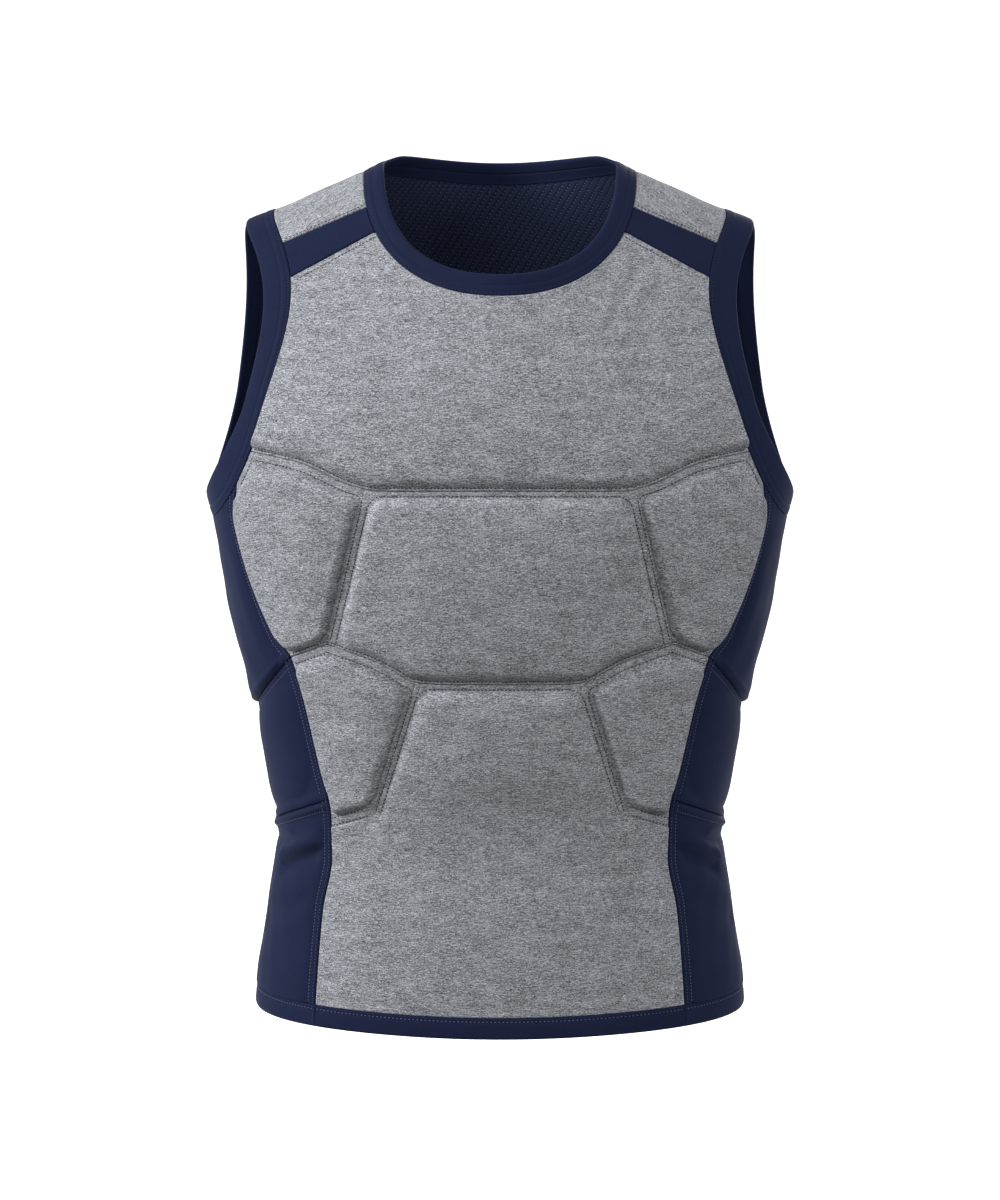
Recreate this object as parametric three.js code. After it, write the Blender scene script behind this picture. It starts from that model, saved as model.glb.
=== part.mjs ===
// A padded contact vest in its worn shape: grey padded front and back, navy stretch sides and bands.
// Millimetres, +Z up, front towards -Y, +X to the wearer's left. The origin lies midway between the
// shoulders, at the height of the shoulder strips, where the vest hangs on the body.
// Every panel is a wall built on one smooth body form, between seams that neighbouring panels share.
import * as THREE from "three";

// Body form
const ARMPIT_Z = -250; // below this level the form is a plain tube
const SECTION_POWER = 2.4; // squareness of the tube's sections
const RIDGE_Y = 10; // the shoulder ridge runs a little behind the middle
const RIDGE = { x: 102, z: 11.9, slope: 0.42, round: 25, neckRise: 36, neckReach: 48 };
const SECTIONS = [
  { z: -625, half: 184.5, front: 117, back: 113 },
  { z: -594, half: 182, front: 116, back: 112 },
  { z: -560, half: 176.5, front: 115, back: 110 },
  { z: -520, half: 170.5, front: 113, back: 105 },
  { z: -485, half: 166, front: 111, back: 101 },
  { z: -440, half: 170.5, front: 113, back: 101 },
  { z: -385, half: 180.5, front: 117, back: 105 },
  { z: -340, half: 190.5, front: 121, back: 110 },
  { z: -300, half: 199, front: 124, back: 115 },
  { z: -250, half: 211.5, front: 127, back: 121 },
  { z: -225, half: 217.5, front: 127, back: 124 },
  { z: -150, half: 226, front: 123, back: 128 },
  { z: -60, half: 229, front: 112, back: 126 },
  { z: 40, half: 230, front: 98, back: 118 },
];

// Wall offsets from the body form
const LINING = { inner: 0, outer: 1.1 };
const WALL_INNER = 1.5; // leaves 0.4 over the lining
const WALL_OUTER = 3.2; // plain cloth, and every panel at its seams
const BAND_INNER = 1.2; // folded bands are a little thicker than the panels that they edge
const BAND_OUTER = 3.9;
const BAND_EDGE = { inner: 0.4, outer: 0.6 }; // what a band loses from each face along its free edge
// Height of the foam in each kind of panel
const FOAM = { chest: 3.6, upper: 4.6, lower: 4.6, belly: 2.6 };
const SIDE_FOAM = { upper: 4.2, middle: 3.6, lower: 1.6 };
const PAD_EDGE = 0.62; // grid steps over which the foam rises from a padded edge
const FADE_POWER = 0.8; // how the chest's foam thins towards the neck, and the belly's towards the hem
const BELLY_START = 0.15;
const SEAM_INSET = 0.3; // each panel stops this far short of its seam
const EDGE_LINE = 0.4; // the extra grid line beside a padded edge, as a share of one step

// Neck and arm openings, each with the seam of its band
const NECK = {
  opening: { half: 85.5, frontZ: -61.5, frontPower: 2.4, backZ: 21.7 },
  seam: { half: 100.5, frontZ: -77, frontPower: 2.25, backZ: 6.5 },
  // The back edge stands up behind both shoulders, and stays a little under the ridge
  backRise: { height: 4.6, start: 0.25, middlePower: 5, underRidge: 0.6 },
};
const ARMHOLE = {
  opening: { topZ: -24.1, midZ: -150, lowZ: -223, front: 78, back: 59, upPower: 1.2, lowPower: 1 },
  seam: { topZ: -15.4, midZ: -160, lowZ: -241, front: 88.5, back: 73, upPower: 1.17, lowPower: 0.6 },
};

// Seams. Levels on the armhole seam where other seams meet it:
const STRIP_TOP = { armZ: -39.5, neckZ: -13 };
const STRIP_LOW = { armZ: -64.5, neckZ: -31 };
const YOKE_ARM_Z = -190;
const SIDE_TOP_Z = -213.5;
// Turns of the armhole and neck seams, just behind the ridge, between which the back's shoulder parts start
const SHOULDER_TURN = { arm: 0.2, neck: 1.8 };
// Seams of the front, as x and z in the front view, for the wearer's left half
const YOKE = [
  { x: 0, z: -216 },
  { x: 88, z: -216.5 },
  { x: 104, z: -213.5 },
  { x: 145, z: -197 },
  { x: 181, z: -190 },
];
const WAIST = [
  { x: 0, z: -357 },
  { x: 46, z: -357 },
  { x: 62, z: -355.5 },
  { x: 76, z: -348 },
  { x: 90, z: -341 },
  { x: 125.5, z: -329.5 },
];
const UPPER_CHANNEL = { topX: 99, lowX: 125.5 }; // from the yoke seam to the waist seam's peak
const LOWER_CHANNEL = { topX: 62, lowX: 92.5, lowZ: -456.5 }; // from the waist seam to the pad's corner
// Side seam between the front or back and the side panels
const SIDE_SEAM = [
  { z: -213.5, x: 191.5 },
  { z: -235, x: 193 },
  { z: -255, x: 189.5 },
  { z: -325, x: 164.5 },
  { z: -341, x: 152.5 },
  { z: -425, x: 131 },
  { z: -460, x: 123.5 },
  { z: -490, x: 123 },
  { z: -530, x: 130 },
  { z: -602, x: 136 },
  { z: -625, x: 137 },
];
const SIDE_LEAD = 40; // the height over which the side seam is led into the armhole seam
const SIDE_LEVELS = { waist: -341, lower: -447, padFoot: -467.5 };
// Seams across the side panels sag from the side seams to the middle of the side
const SIDE_SAG = { upper: { z: -385, power: 1.7 }, lower: { z: -473.5, power: 1.3 } };
const HEM = { z: -616, frontDrop: 5, height: 16 };

// Grid steps along each stretch of seam: on the front, down the sides, and on the back
const STEPS = { strip: 4, waistSlope: 3, waistMiddle: 8, stripEnd: 2, chest: 6 };
const SIDE_STEPS = { yoke: 1, upper: 4, middle: 4, foot: 1, lower: 4, across: 8 };
const BACK_STEPS = { neck: 10, arm: 7, over: 4 };

const GREY = { color: 0x9b9ea6, roughness: 0.95, metalness: 0 };
const NAVY = { color: 0x2b3052, roughness: 0.8, metalness: 0 };
const MESH_NAVY = { color: 0x20243f, roughness: 0.85, metalness: 0 };

const V = (x, y, z) => new THREE.Vector3(x, y, z);

/** A smooth curve through a table's rows that never swings past them: y as a function of x. */
function through(rows, xKey, yKey) {
  const pts = rows.map((r) => [r[xKey], r[yKey]]).sort((a, b) => a[0] - b[0]);
  const slope = pts.slice(1).map((p, i) => (p[1] - pts[i][1]) / (p[0] - pts[i][0]));
  const tangent = pts.map((_, i) => {
    if (i === 0) return slope[0];
    if (i === pts.length - 1) return slope[i - 1];
    const [a, b] = [slope[i - 1], slope[i]];
    return a * b <= 0 ? 0 : (2 * a * b) / (a + b);
  });
  return (x) => {
    if (x <= pts[0][0]) return pts[0][1] + (x - pts[0][0]) * tangent[0];
    let i = 0;
    while (i < pts.length - 2 && x > pts[i + 1][0]) i++;
    const h = pts[i + 1][0] - pts[i][0];
    const t = (x - pts[i][0]) / h;
    if (t > 1) return pts[i + 1][1] + (x - pts[i + 1][0]) * tangent[i + 1];
    const [t2, t3] = [t * t, t * t * t];
    return (
      (2 * t3 - 3 * t2 + 1) * pts[i][1] +
      (t3 - 2 * t2 + t) * h * tangent[i] +
      (3 * t2 - 2 * t3) * pts[i + 1][1] +
      (t3 - t2) * h * tangent[i + 1]
    );
  };
}

const halfWidth = through(SECTIONS, "z", "half");
const frontDepth = through(SECTIONS, "z", "front");
const backDepth = through(SECTIONS, "z", "back");
const sideSeamX = through(SIDE_SEAM, "z", "x");
const yokeZ = through(YOKE, "x", "z");
const waistZ = through(WAIST, "x", "z");

/** Height of the shoulder ridge: a straight slope outwards, with a rise towards the neck. */
function ridgeZ(x) {
  const out = Math.hypot(x, RIDGE.round) - Math.hypot(RIDGE.x, RIDGE.round);
  return RIDGE.z - RIDGE.slope * out + RIDGE.neckRise * Math.exp(-((x / RIDGE.neckReach) ** 2));
}

/** Share of the full depth that is left at a height: 1 up to the armpit, 0 on the shoulder ridge. */
function depthLeft(x, z) {
  const up = Math.max(0, (z - ARMPIT_Z) / (ridgeZ(x) - ARMPIT_Z));
  return Math.sqrt(Math.max(0, 1 - up * up));
}

/** Negative inside the body form, zero on it: a rounded-square section that closes over the shoulders. */
function bodyForm(x, y, z) {
  const left = depthLeft(x, z);
  const middle = RIDGE_Y * (1 - left);
  const depth = y < middle ? frontDepth(z) : backDepth(z);
  const across = Math.min(3, Math.abs(x) / halfWidth(z)) ** SECTION_POWER;
  return (Math.abs(y - middle) / depth) ** SECTION_POWER - left ** SECTION_POWER * (1 - across);
}

/** The point where a ray from inside leaves the body form. */
function leave(from, direction) {
  let [near, far] = [0, 420];
  const p = V();
  for (let i = 0; i < 44; i++) {
    const t = (near + far) / 2;
    p.copy(direction).multiplyScalar(t).add(from);
    if (bodyForm(p.x, p.y, p.z) < 0) near = t;
    else far = t;
  }
  return p;
}

/** Outward normal of the form at a point on it. */
function outward(p) {
  const h = 0.5;
  return V(
    bodyForm(p.x + h, p.y, p.z) - bodyForm(p.x - h, p.y, p.z),
    bodyForm(p.x, p.y + h, p.z) - bodyForm(p.x, p.y - h, p.z),
    bodyForm(p.x, p.y, p.z + h) - bodyForm(p.x, p.y, p.z - h),
  ).normalize();
}

/** The point of the form straight in front of (-1) or behind (1) its middle. */
const straightOut = (x, z, way) => leave(V(x, RIDGE_Y * (1 - depthLeft(x, z)), z), V(0, way, 0));

// Flat views of the form, in which panels are laid out before they are put on the body
const FRONT = {
  flat: (p) => [p.x, p.z],
  onBody: (x, z) => straightOut(x, z, -1),
};
const AROUND = {
  flat: (p) => [Math.atan2(p.x, -p.y), p.z],
  onBody: (turn, z) => leave(V(0, 0, z), V(Math.sin(turn), -Math.cos(turn), 0)),
};
const LAP = 200; // millimetres of back view for each radian over the shoulder
const BACK = {
  flat: (p) => [p.x, p.z < ARMPIT_Z ? p.z : ARMPIT_Z + LAP * Math.atan2(p.z - ARMPIT_Z, p.y)],
  onBody: (x, run) => {
    const turn = Math.max(0, run - ARMPIT_Z) / LAP;
    return leave(V(x, 0, Math.min(run, ARMPIT_Z)), V(0, Math.cos(turn), Math.sin(turn)));
  },
};
const sideways = (side, y, z) => leave(V(0, y, z), V(side, 0, 0));

/** Points at even distances along a dense run of points. */
function spaced(points, steps) {
  const far = [0];
  points.slice(1).forEach((p, i) => far.push(far[i] + p.distanceTo(points[i])));
  const total = far[far.length - 1];
  return Array.from({ length: steps + 1 }, (_, k) => {
    const want = (total * k) / steps;
    let i = 0;
    while (i < points.length - 2 && far[i + 1] < want) i++;
    const t = far[i + 1] > far[i] ? (want - far[i]) / (far[i + 1] - far[i]) : 0;
    return points[i].clone().lerp(points[i + 1], Math.min(1, Math.max(0, t)));
  });
}

const DENSE = 160;
const dense = (make, from, to) =>
  Array.from({ length: DENSE + 1 }, (_, i) => make(from + ((to - from) * i) / DENSE));
/** A seam given by a function of one number, as evenly spaced points. */
const seam = (steps, from, to, make) => spaced(dense(make, from, to), steps);
/** Runs of seam end to end, each starting where the last one stopped. */
const join = (...runs) => runs.flatMap((run, i) => (i ? run.slice(1) : run));
const back = (run) => [...run].reverse();
const mirror = (run) => run.map((p) => V(-p.x, p.y, p.z));

/** Armhole loop on one side: 0 is the shoulder ridge, then down the front, pi the armpit, up the back. */
function armholePoint(loop, turn) {
  const c = Math.cos(turn);
  const s = Math.sin(turn);
  const z = loop.midZ + (c > 0 ? loop.topZ - loop.midZ : loop.midZ - loop.lowZ) * c;
  const wide = Math.abs(s) ** (c > 0 ? loop.upPower : loop.lowPower) * (s > 0 ? -loop.front : loop.back);
  return sideways(1, RIDGE_Y * (0.5 + 0.5 * c) + wide, z);
}
/** The turn at which the front of the armhole seam passes a height. */
function armholeTurn(z) {
  const a = ARMHOLE.seam;
  return Math.acos(z > a.midZ ? (z - a.midZ) / (a.topZ - a.midZ) : (z - a.midZ) / (a.midZ - a.lowZ));
}
const armRun = (steps, from, to) => seam(steps, from, to, (turn) => armholePoint(ARMHOLE.seam, turn));

/** Neck loop: 0 is the front, pi / 2 the left ridge, pi the back. */
function neckPoint(loop, turn) {
  const top = ridgeZ(loop.half);
  const c = Math.cos(turn);
  const s = Math.sin(turn);
  const power = 2 / (c > 0 ? loop.frontPower : 2);
  const x = loop.half * Math.sign(s) * Math.abs(s) ** power;
  const z = top - (top - (c > 0 ? loop.frontZ : loop.backZ)) * Math.abs(c) ** power;
  if (c > 0) return straightOut(x, z, -1);
  const { height, start, middlePower, underRidge } = NECK.backRise;
  const rise = height * (1 - Math.abs(c) ** middlePower) * (1 - Math.exp(-((c / start) ** 2)));
  return straightOut(x, Math.min(z + rise, ridgeZ(x) - underRidge), 1);
}
function neckTurn(z) {
  const n = NECK.seam;
  const top = ridgeZ(n.half);
  return Math.acos(((top - z) / (top - n.frontZ)) ** (n.frontPower / 2));
}
const neckRun = (steps, from, to) => seam(steps, from, to, (turn) => neckPoint(NECK.seam, turn));

/** A straight seam between two points, laid on the form in the front view. */
const straight = (steps, a, b) =>
  seam(steps, 0, 1, (t) => FRONT.onBody(a.x + (b.x - a.x) * t, a.z + (b.z - a.z) * t));

// The seams of the wearer's left half, from the middle outwards and from the top down
const turns = {
  stripTop: armholeTurn(STRIP_TOP.armZ),
  stripLow: armholeTurn(STRIP_LOW.armZ),
  yoke: armholeTurn(YOKE_ARM_Z),
  side: armholeTurn(SIDE_TOP_Z),
};
const arm = {
  strip: armRun(STEPS.stripEnd, turns.stripTop, turns.stripLow),
  chest: armRun(STEPS.chest, turns.stripLow, turns.yoke),
  upper: armRun(SIDE_STEPS.yoke, turns.yoke, turns.side),
  under: armRun(SIDE_STEPS.across, turns.side, 2 * Math.PI - turns.side),
  back: armRun(BACK_STEPS.arm, 2 * Math.PI - turns.side, 2 * Math.PI - SHOULDER_TURN.arm),
  over: armRun(BACK_STEPS.over, 2 * Math.PI - SHOULDER_TURN.arm, 2 * Math.PI + turns.stripTop),
};
const neckTop = neckTurn(STRIP_TOP.neckZ);
const neckLow = neckTurn(STRIP_LOW.neckZ);
const neck = {
  front: neckRun(2 * STEPS.waistSlope + STEPS.waistMiddle, -neckLow, neckLow),
  strip: neckRun(STEPS.stripEnd, neckLow, neckTop),
  over: neckRun(BACK_STEPS.over, neckTop, SHOULDER_TURN.neck),
  back: neckRun(BACK_STEPS.neck, SHOULDER_TURN.neck, 2 * Math.PI - SHOULDER_TURN.neck),
};
const last = (run) => run[run.length - 1];
const strip = {
  top: straight(STEPS.strip, neck.strip[STEPS.stripEnd], arm.strip[0]),
  low: straight(STEPS.strip, neck.strip[0], arm.chest[0]),
};
const yokeEnd = last(arm.chest);
const yoke = {
  middle: seam(2 * STEPS.waistSlope + STEPS.waistMiddle, -UPPER_CHANNEL.topX, UPPER_CHANNEL.topX, (x) =>
    FRONT.onBody(x, yokeZ(Math.abs(x))),
  ),
  side: seam(STEPS.strip, 0, 1, (t) => {
    const x = UPPER_CHANNEL.topX + (yokeEnd.x - UPPER_CHANNEL.topX) * t;
    return FRONT.onBody(x, yokeZ(x) + (yokeEnd.z - yokeZ(yokeEnd.x)) * t * t);
  }),
};
const waistAt = (x) => FRONT.onBody(x, waistZ(Math.abs(x)));
const peak = waistAt(last(WAIST).x);
const sideTop = arm.under[0];
/** The side seam from one height to another, on the front or the back, led into the armhole seam. */
function sideRun(steps, fromZ, toZ, view) {
  return seam(steps, fromZ, toZ, (z) => {
    const lead = Math.max(0, 1 - (SIDE_TOP_Z - z) / SIDE_LEAD);
    const x = sideSeamX(z) + (sideTop.x - sideSeamX(SIDE_TOP_Z)) * lead;
    return straightOut(x, z, view === FRONT ? -1 : 1);
  });
}
const hemTopZ = (turn) => HEM.z + HEM.height - HEM.frontDrop * Math.max(0, Math.cos(turn)) ** 2;
const HEM_CORNER_Z = hemTopZ(AROUND.flat(FRONT.onBody(sideSeamX(HEM.z), HEM.z))[0]);
function sideSeamOn(view, hemZ) {
  const { waist, lower, padFoot } = SIDE_LEVELS;
  return {
    upper: sideRun(SIDE_STEPS.upper, SIDE_TOP_Z, waist, view),
    middle: sideRun(SIDE_STEPS.middle, waist, lower, view),
    foot: sideRun(SIDE_STEPS.foot, lower, padFoot, view),
    lower: sideRun(SIDE_STEPS.lower, padFoot, hemZ, view),
  };
}
const sideSeams = {
  front: sideSeamOn(FRONT, HEM_CORNER_Z),
  back: sideSeamOn(BACK, HEM.z + HEM.height),
};
sideSeams.back.upper[0] = last(arm.under);
const waist = {
  slope: seam(STEPS.waistSlope, last(WAIST).x, LOWER_CHANNEL.topX, waistAt),
  middle: seam(STEPS.waistMiddle, LOWER_CHANNEL.topX, -LOWER_CHANNEL.topX, waistAt),
  side: straight(STEPS.strip, last(sideSeams.front.upper), peak),
};
const padCorner = FRONT.onBody(LOWER_CHANNEL.lowX, LOWER_CHANNEL.lowZ);
const channel = {
  upper: straight(SIDE_STEPS.yoke + SIDE_STEPS.upper, last(yoke.middle), peak),
  lower: straight(SIDE_STEPS.middle + SIDE_STEPS.foot, last(waist.slope), padCorner),
  foot: straight(STEPS.waistSlope + STEPS.strip, padCorner, last(sideSeams.front.foot)),
};
/** A seam across the side panel, sagging between its two ends. */
function sagging(sag, a, b) {
  const [turnA, zA] = AROUND.flat(a);
  const [turnB, zB] = AROUND.flat(b);
  return seam(SIDE_STEPS.across, 0, 1, (t) => {
    const bow = Math.abs(2 * t - 1) ** sag.power;
    return AROUND.onBody(turnA + (turnB - turnA) * t, sag.z + ((t < 0.5 ? zA : zB) - sag.z) * bow);
  });
}
const acrossSide = {
  upper: sagging(SIDE_SAG.upper, last(sideSeams.front.upper), last(sideSeams.back.upper)),
  lower: sagging(SIDE_SAG.lower, last(sideSeams.front.middle), last(sideSeams.back.middle)),
};
/** Hem lines: the band's top or bottom edge over the front, a side or the back. */
function hemLine(down) {
  const cornerTurn = AROUND.flat(last(sideSeams.front.lower))[0];
  const backTurn = AROUND.flat(last(sideSeams.back.lower))[0];
  const at = (turn) => AROUND.onBody(turn, hemTopZ(turn) - down);
  return {
    front: seam(STEPS.waistMiddle, cornerTurn, -cornerTurn, at),
    side: seam(SIDE_STEPS.across, cornerTurn, backTurn, at),
    back: seam(2 * STEPS.strip + BACK_STEPS.neck, backTurn, 2 * Math.PI - backTurn, at),
  };
}
const hemTop = hemLine(0);
const hemFoot = hemLine(HEM.height);

/** Steps of a grid direction, with one more line beside each padded end. */
function lines(steps, nearStart = true, nearEnd = true) {
  const all = Array.from({ length: steps + 1 }, (_, i) => i);
  if (nearStart) all.splice(1, 0, EDGE_LINE);
  if (nearEnd) all.splice(all.length - 1, 0, steps - EDGE_LINE);
  return all;
}
const alongEdge = (edge, s) => {
  const i = Math.min(edge.length - 2, Math.floor(s));
  return [0, 1].map((k) => edge[i][k] + (edge[i + 1][k] - edge[i][k]) * (s - i));
};

/** A panel's grid of points on the form, filled in between its four seams: rows from low to top. */
function layOut(view, { low, top, left, right }, columns, rows) {
  const [L, T, A, B] = [low, top, left, right].map((run) => run.map(view.flat));
  const [n, m] = [low.length - 1, left.length - 1];
  return rows.map((r) =>
    columns.map((c) => {
      const [u, v] = [c / n, r / m];
      const [l, t, a, b] = [alongEdge(L, c), alongEdge(T, c), alongEdge(A, r), alongEdge(B, r)];
      const mix = [0, 1].map(
        (k) =>
          (1 - v) * l[k] + v * t[k] + (1 - u) * a[k] + u * b[k] -
          (1 - v) * ((1 - u) * L[0][k] + u * L[n][k]) - v * ((1 - u) * T[0][k] + u * T[n][k]),
      );
      return view.onBody(...mix);
    }),
  );
}

/** A grid of points with the offsets of the wall's two faces, given as functions of row and column. */
const spotted = (grid, inner, outer) =>
  grid.map((row, i) => row.map((p, j) => ({ p, inner: inner(i, j), outer: outer(i, j) })));

/** Grids that meet point to point as one sheet: its spots, its four-cornered cells and its border edges. */
function sheetOf(grids) {
  const spots = [];
  const known = new Map();
  const number = (spot) => {
    const key = spot.p.toArray().map((v) => v.toFixed(2)).join();
    if (!known.has(key)) known.set(key, spots.push({ ...spot, p: spot.p.clone() }) - 1);
    return known.get(key);
  };
  const cells = grids.flatMap((grid) => {
    const ids = grid.map((row) => row.map(number));
    return ids.slice(1).flatMap((row, i) =>
      row.slice(1).map((_, j) => [ids[i][j], ids[i][j + 1], row[j + 1], row[j]]),
    );
  });
  const edges = cells.flatMap((cell) => cell.map((a, k) => [a, cell[(k + 1) % 4]]));
  const directed = new Set(edges.map((edge) => edge.join()));
  const border = edges.filter(([a, b]) => !directed.has([b, a].join()));
  return { spots, cells, edges, border };
}

/** Draws a sheet's border in a little, so that neighbouring panels keep a gap along their seam. */
function insetBorder({ spots, edges, border }) {
  const onBorder = new Set(border.flat());
  const borderEdges = new Set(border.map((edge) => edge.join()));
  const moves = new Map();
  const lean = (from, to, weight) => {
    const way = spots[to].p.clone().sub(spots[from].p).normalize().multiplyScalar(weight);
    moves.set(from, (moves.get(from) ?? V(0, 0, 0)).add(way));
  };
  const crossing = edges.filter((edge) => !borderEdges.has(edge.join()));
  crossing.forEach(([a, b]) => {
    if (onBorder.has(a)) lean(a, b, 1);
    if (onBorder.has(b)) lean(b, a, 1);
  });
  moves.forEach((way) => way.normalize());
  const inner = new Set(moves.keys());
  border.forEach(([a, b]) => {
    if (!inner.has(a)) lean(a, b, 1);
    if (!inner.has(b)) lean(b, a, 1);
  });
  moves.forEach((way, id) => spots[id].p.addScaledVector(way, SEAM_INSET));
}

/** A closed wall over one or more grids of spots: outer face, inner face and the rim between them. */
function wallGeometry(grids) {
  const sheet = sheetOf(grids);
  insetBorder(sheet);
  const { spots, cells, border } = sheet;
  const faces = ["outer", "inner"].map((side) =>
    spots.map(({ p, ...offset }) => p.clone().addScaledVector(outward(p), offset[side])),
  );
  const points = faces.flat();
  const index = [];
  const quad = (a, b, c, d) => {
    if (points[a].distanceTo(points[c]) <= points[b].distanceTo(points[d])) index.push(a, b, c, a, c, d);
    else index.push(a, b, d, b, c, d);
  };
  const under = spots.length;
  cells.forEach(([a, b, c, d]) => {
    quad(a, b, c, d);
    quad(d + under, c + under, b + under, a + under);
  });
  border.forEach(([a, b]) => quad(b, a, a + under, b + under));
  const [a, b, c] = cells[0].map((id) => points[id]);
  const facing = b.clone().sub(a).cross(c.clone().sub(a)).dot(outward(a));
  if (facing < 0) index.reverse();
  return new THREE.BufferGeometry()
    .setAttribute("position", new THREE.Float32BufferAttribute(points.flatMap((p) => p.toArray()), 3))
    .setIndex(index);
}

const vest = new THREE.Group();
function add(name, geometry, finish) {
  const mesh = new THREE.Mesh(geometry, new THREE.MeshStandardMaterial(finish));
  mesh.name = name;
  vest.add(mesh);
}

/** Share of the foam's height at a number of grid steps in from a padded edge. */
const rise = (steps) => Math.min(1, Math.sqrt(Math.max(0, steps) / PAD_EDGE));

/**
 * A padded or plain panel between four seams. `padded` says which edges the foam slopes down to,
 * `fade` how much of the foam is left from the low edge (0) to the top edge (1).
 */
function panel(name, view, seams, finish, foam, padded = "low top left right", fade = () => 1) {
  const [n, m] = [seams.low.length - 1, seams.left.length - 1];
  const near = (edge) => foam > 0 && padded.includes(edge);
  const columns = lines(n, near("left"), near("right"));
  const rows = lines(m, near("low"), near("top"));
  const height = (i, j) => {
    const [r, c] = [rows[i], columns[j]];
    const edges = [["low", r], ["top", m - r], ["left", c], ["right", n - c]];
    const share = edges.reduce((k, [edge, steps]) => (near(edge) ? k * rise(steps) : k), 1);
    return WALL_OUTER + foam * share * fade(r / m);
  };
  add(name, wallGeometry([spotted(layOut(view, seams, columns, rows), () => WALL_INNER, height)]), finish);
}

/** A folded band between two matching runs of points, a little thinner along its free edge. */
function band(name, seamRun, freeRun) {
  const settle = (p) => {
    const normal = outward(p);
    return leave(p.clone().addScaledVector(normal, -25), normal);
  };
  const middle = seamRun.map((p, i) => settle(p.clone().lerp(freeRun[i], 0.5)));
  const low = [BAND_INNER, BAND_INNER, BAND_INNER + BAND_EDGE.inner];
  const high = [WALL_OUTER, BAND_OUTER, BAND_OUTER - BAND_EDGE.outer];
  add(name, wallGeometry([spotted([seamRun, middle, freeRun], (i) => low[i], (i) => high[i])]), NAVY);
}

/** The point of an opening that lies straight across its band from a point of the band's seam. */
function across(p, openingPoint, bearing) {
  const aim = bearing(p);
  let [low, high] = [-Math.PI, Math.PI];
  for (let i = 0; i < 40; i++) {
    const turn = (low + high) / 2;
    if (bearing(openingPoint(turn)) < aim) low = turn;
    else high = turn;
  }
  return openingPoint(low);
}
const ARM_MIDDLE_Z = -140;
const armBearing = (p) => Math.atan2(RIDGE_Y / 2 - p.y, p.z - ARM_MIDDLE_Z);
const neckBearing = (p) => Math.atan2(p.x, -p.y - RIDGE_Y);

panel(
  "chest_panel",
  FRONT,
  {
    low: join(back(mirror(yoke.side)), yoke.middle, yoke.side),
    top: join(back(mirror(strip.low)), neck.front, strip.low),
    left: back(mirror(arm.chest)),
    right: back(arm.chest),
  },
  GREY,
  FOAM.chest,
  "low left right",
  (v) => Math.cos((v * Math.PI) / 2) ** FADE_POWER,
);
panel(
  "upper_pad_centre",
  FRONT,
  {
    low: join(mirror(waist.slope), back(waist.middle), back(waist.slope)),
    top: yoke.middle,
    left: back(mirror(channel.upper)),
    right: back(channel.upper),
  },
  GREY,
  FOAM.upper,
);
const bellySide = back(join(channel.lower, channel.foot, sideSeams.front.lower));
panel(
  "belly_panel",
  FRONT,
  { low: back(hemTop.front), top: back(waist.middle), left: mirror(bellySide), right: bellySide },
  GREY,
  FOAM.belly,
  "top left right",
  (v) => Math.sin((Math.min(1, BELLY_START + v) * Math.PI) / 2) ** FADE_POWER,
);
for (const [name, put] of [["left", (run) => run], ["right", mirror]]) {
  const edges = (seams) => Object.fromEntries(Object.entries(seams).map(([k, run]) => [k, put(run)]));
  const front = sideSeams.front;
  const rear = sideSeams.back;
  panel(
    `upper_pad_${name}`,
    FRONT,
    edges({
      low: back(waist.side),
      top: yoke.side,
      left: back(channel.upper),
      right: back(join(arm.upper, front.upper)),
    }),
    GREY,
    FOAM.upper,
  );
  panel(
    `lower_pad_${name}`,
    FRONT,
    edges({
      low: channel.foot,
      top: back(join(waist.side, waist.slope)),
      left: back(channel.lower),
      right: back(join(front.middle, front.foot)),
    }),
    GREY,
    FOAM.lower,
  );
  panel(
    `shoulder_strip_${name}`,
    FRONT,
    edges({ low: strip.low, top: strip.top, left: neck.strip, right: back(arm.strip) }),
    NAVY,
    0,
  );
  panel(
    `side_upper_${name}`,
    AROUND,
    edges({ low: acrossSide.upper, top: arm.under, left: back(front.upper), right: back(rear.upper) }),
    NAVY,
    SIDE_FOAM.upper,
  );
  panel(
    `side_middle_${name}`,
    AROUND,
    edges({
      low: acrossSide.lower,
      top: acrossSide.upper,
      left: back(front.middle),
      right: back(rear.middle),
    }),
    NAVY,
    SIDE_FOAM.middle,
  );
  panel(
    `side_lower_${name}`,
    AROUND,
    edges({
      low: hemTop.side,
      top: acrossSide.lower,
      left: back(join(front.foot, front.lower)),
      right: back(join(rear.foot, rear.lower)),
    }),
    NAVY,
    SIDE_FOAM.lower,
    "top left right",
  );
  const loop = join(arm.strip, arm.chest, arm.upper, arm.under, arm.back, arm.over);
  const armOpening = loop.map((p) => across(p, (turn) => armholePoint(ARMHOLE.opening, turn), armBearing));
  band(`armhole_binding_${name}`, put(loop), put(armOpening));
  band(`hem_${name}`, put(hemTop.side), put(hemFoot.side));
}
band("hem_front", hemTop.front, hemFoot.front);
band("hem_back", hemTop.back, hemFoot.back);
const otherSide = (run) => back(mirror(run));
const neckFarSide = join(otherSide(neck.over), otherSide(neck.strip));
const neckLoop = join(neck.front, neck.strip, neck.over, neck.back, neckFarSide);
const neckOpening = neckLoop.map((p) => across(p, (turn) => neckPoint(NECK.opening, turn), neckBearing));
band("neck_binding", neckLoop, neckOpening);

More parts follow.
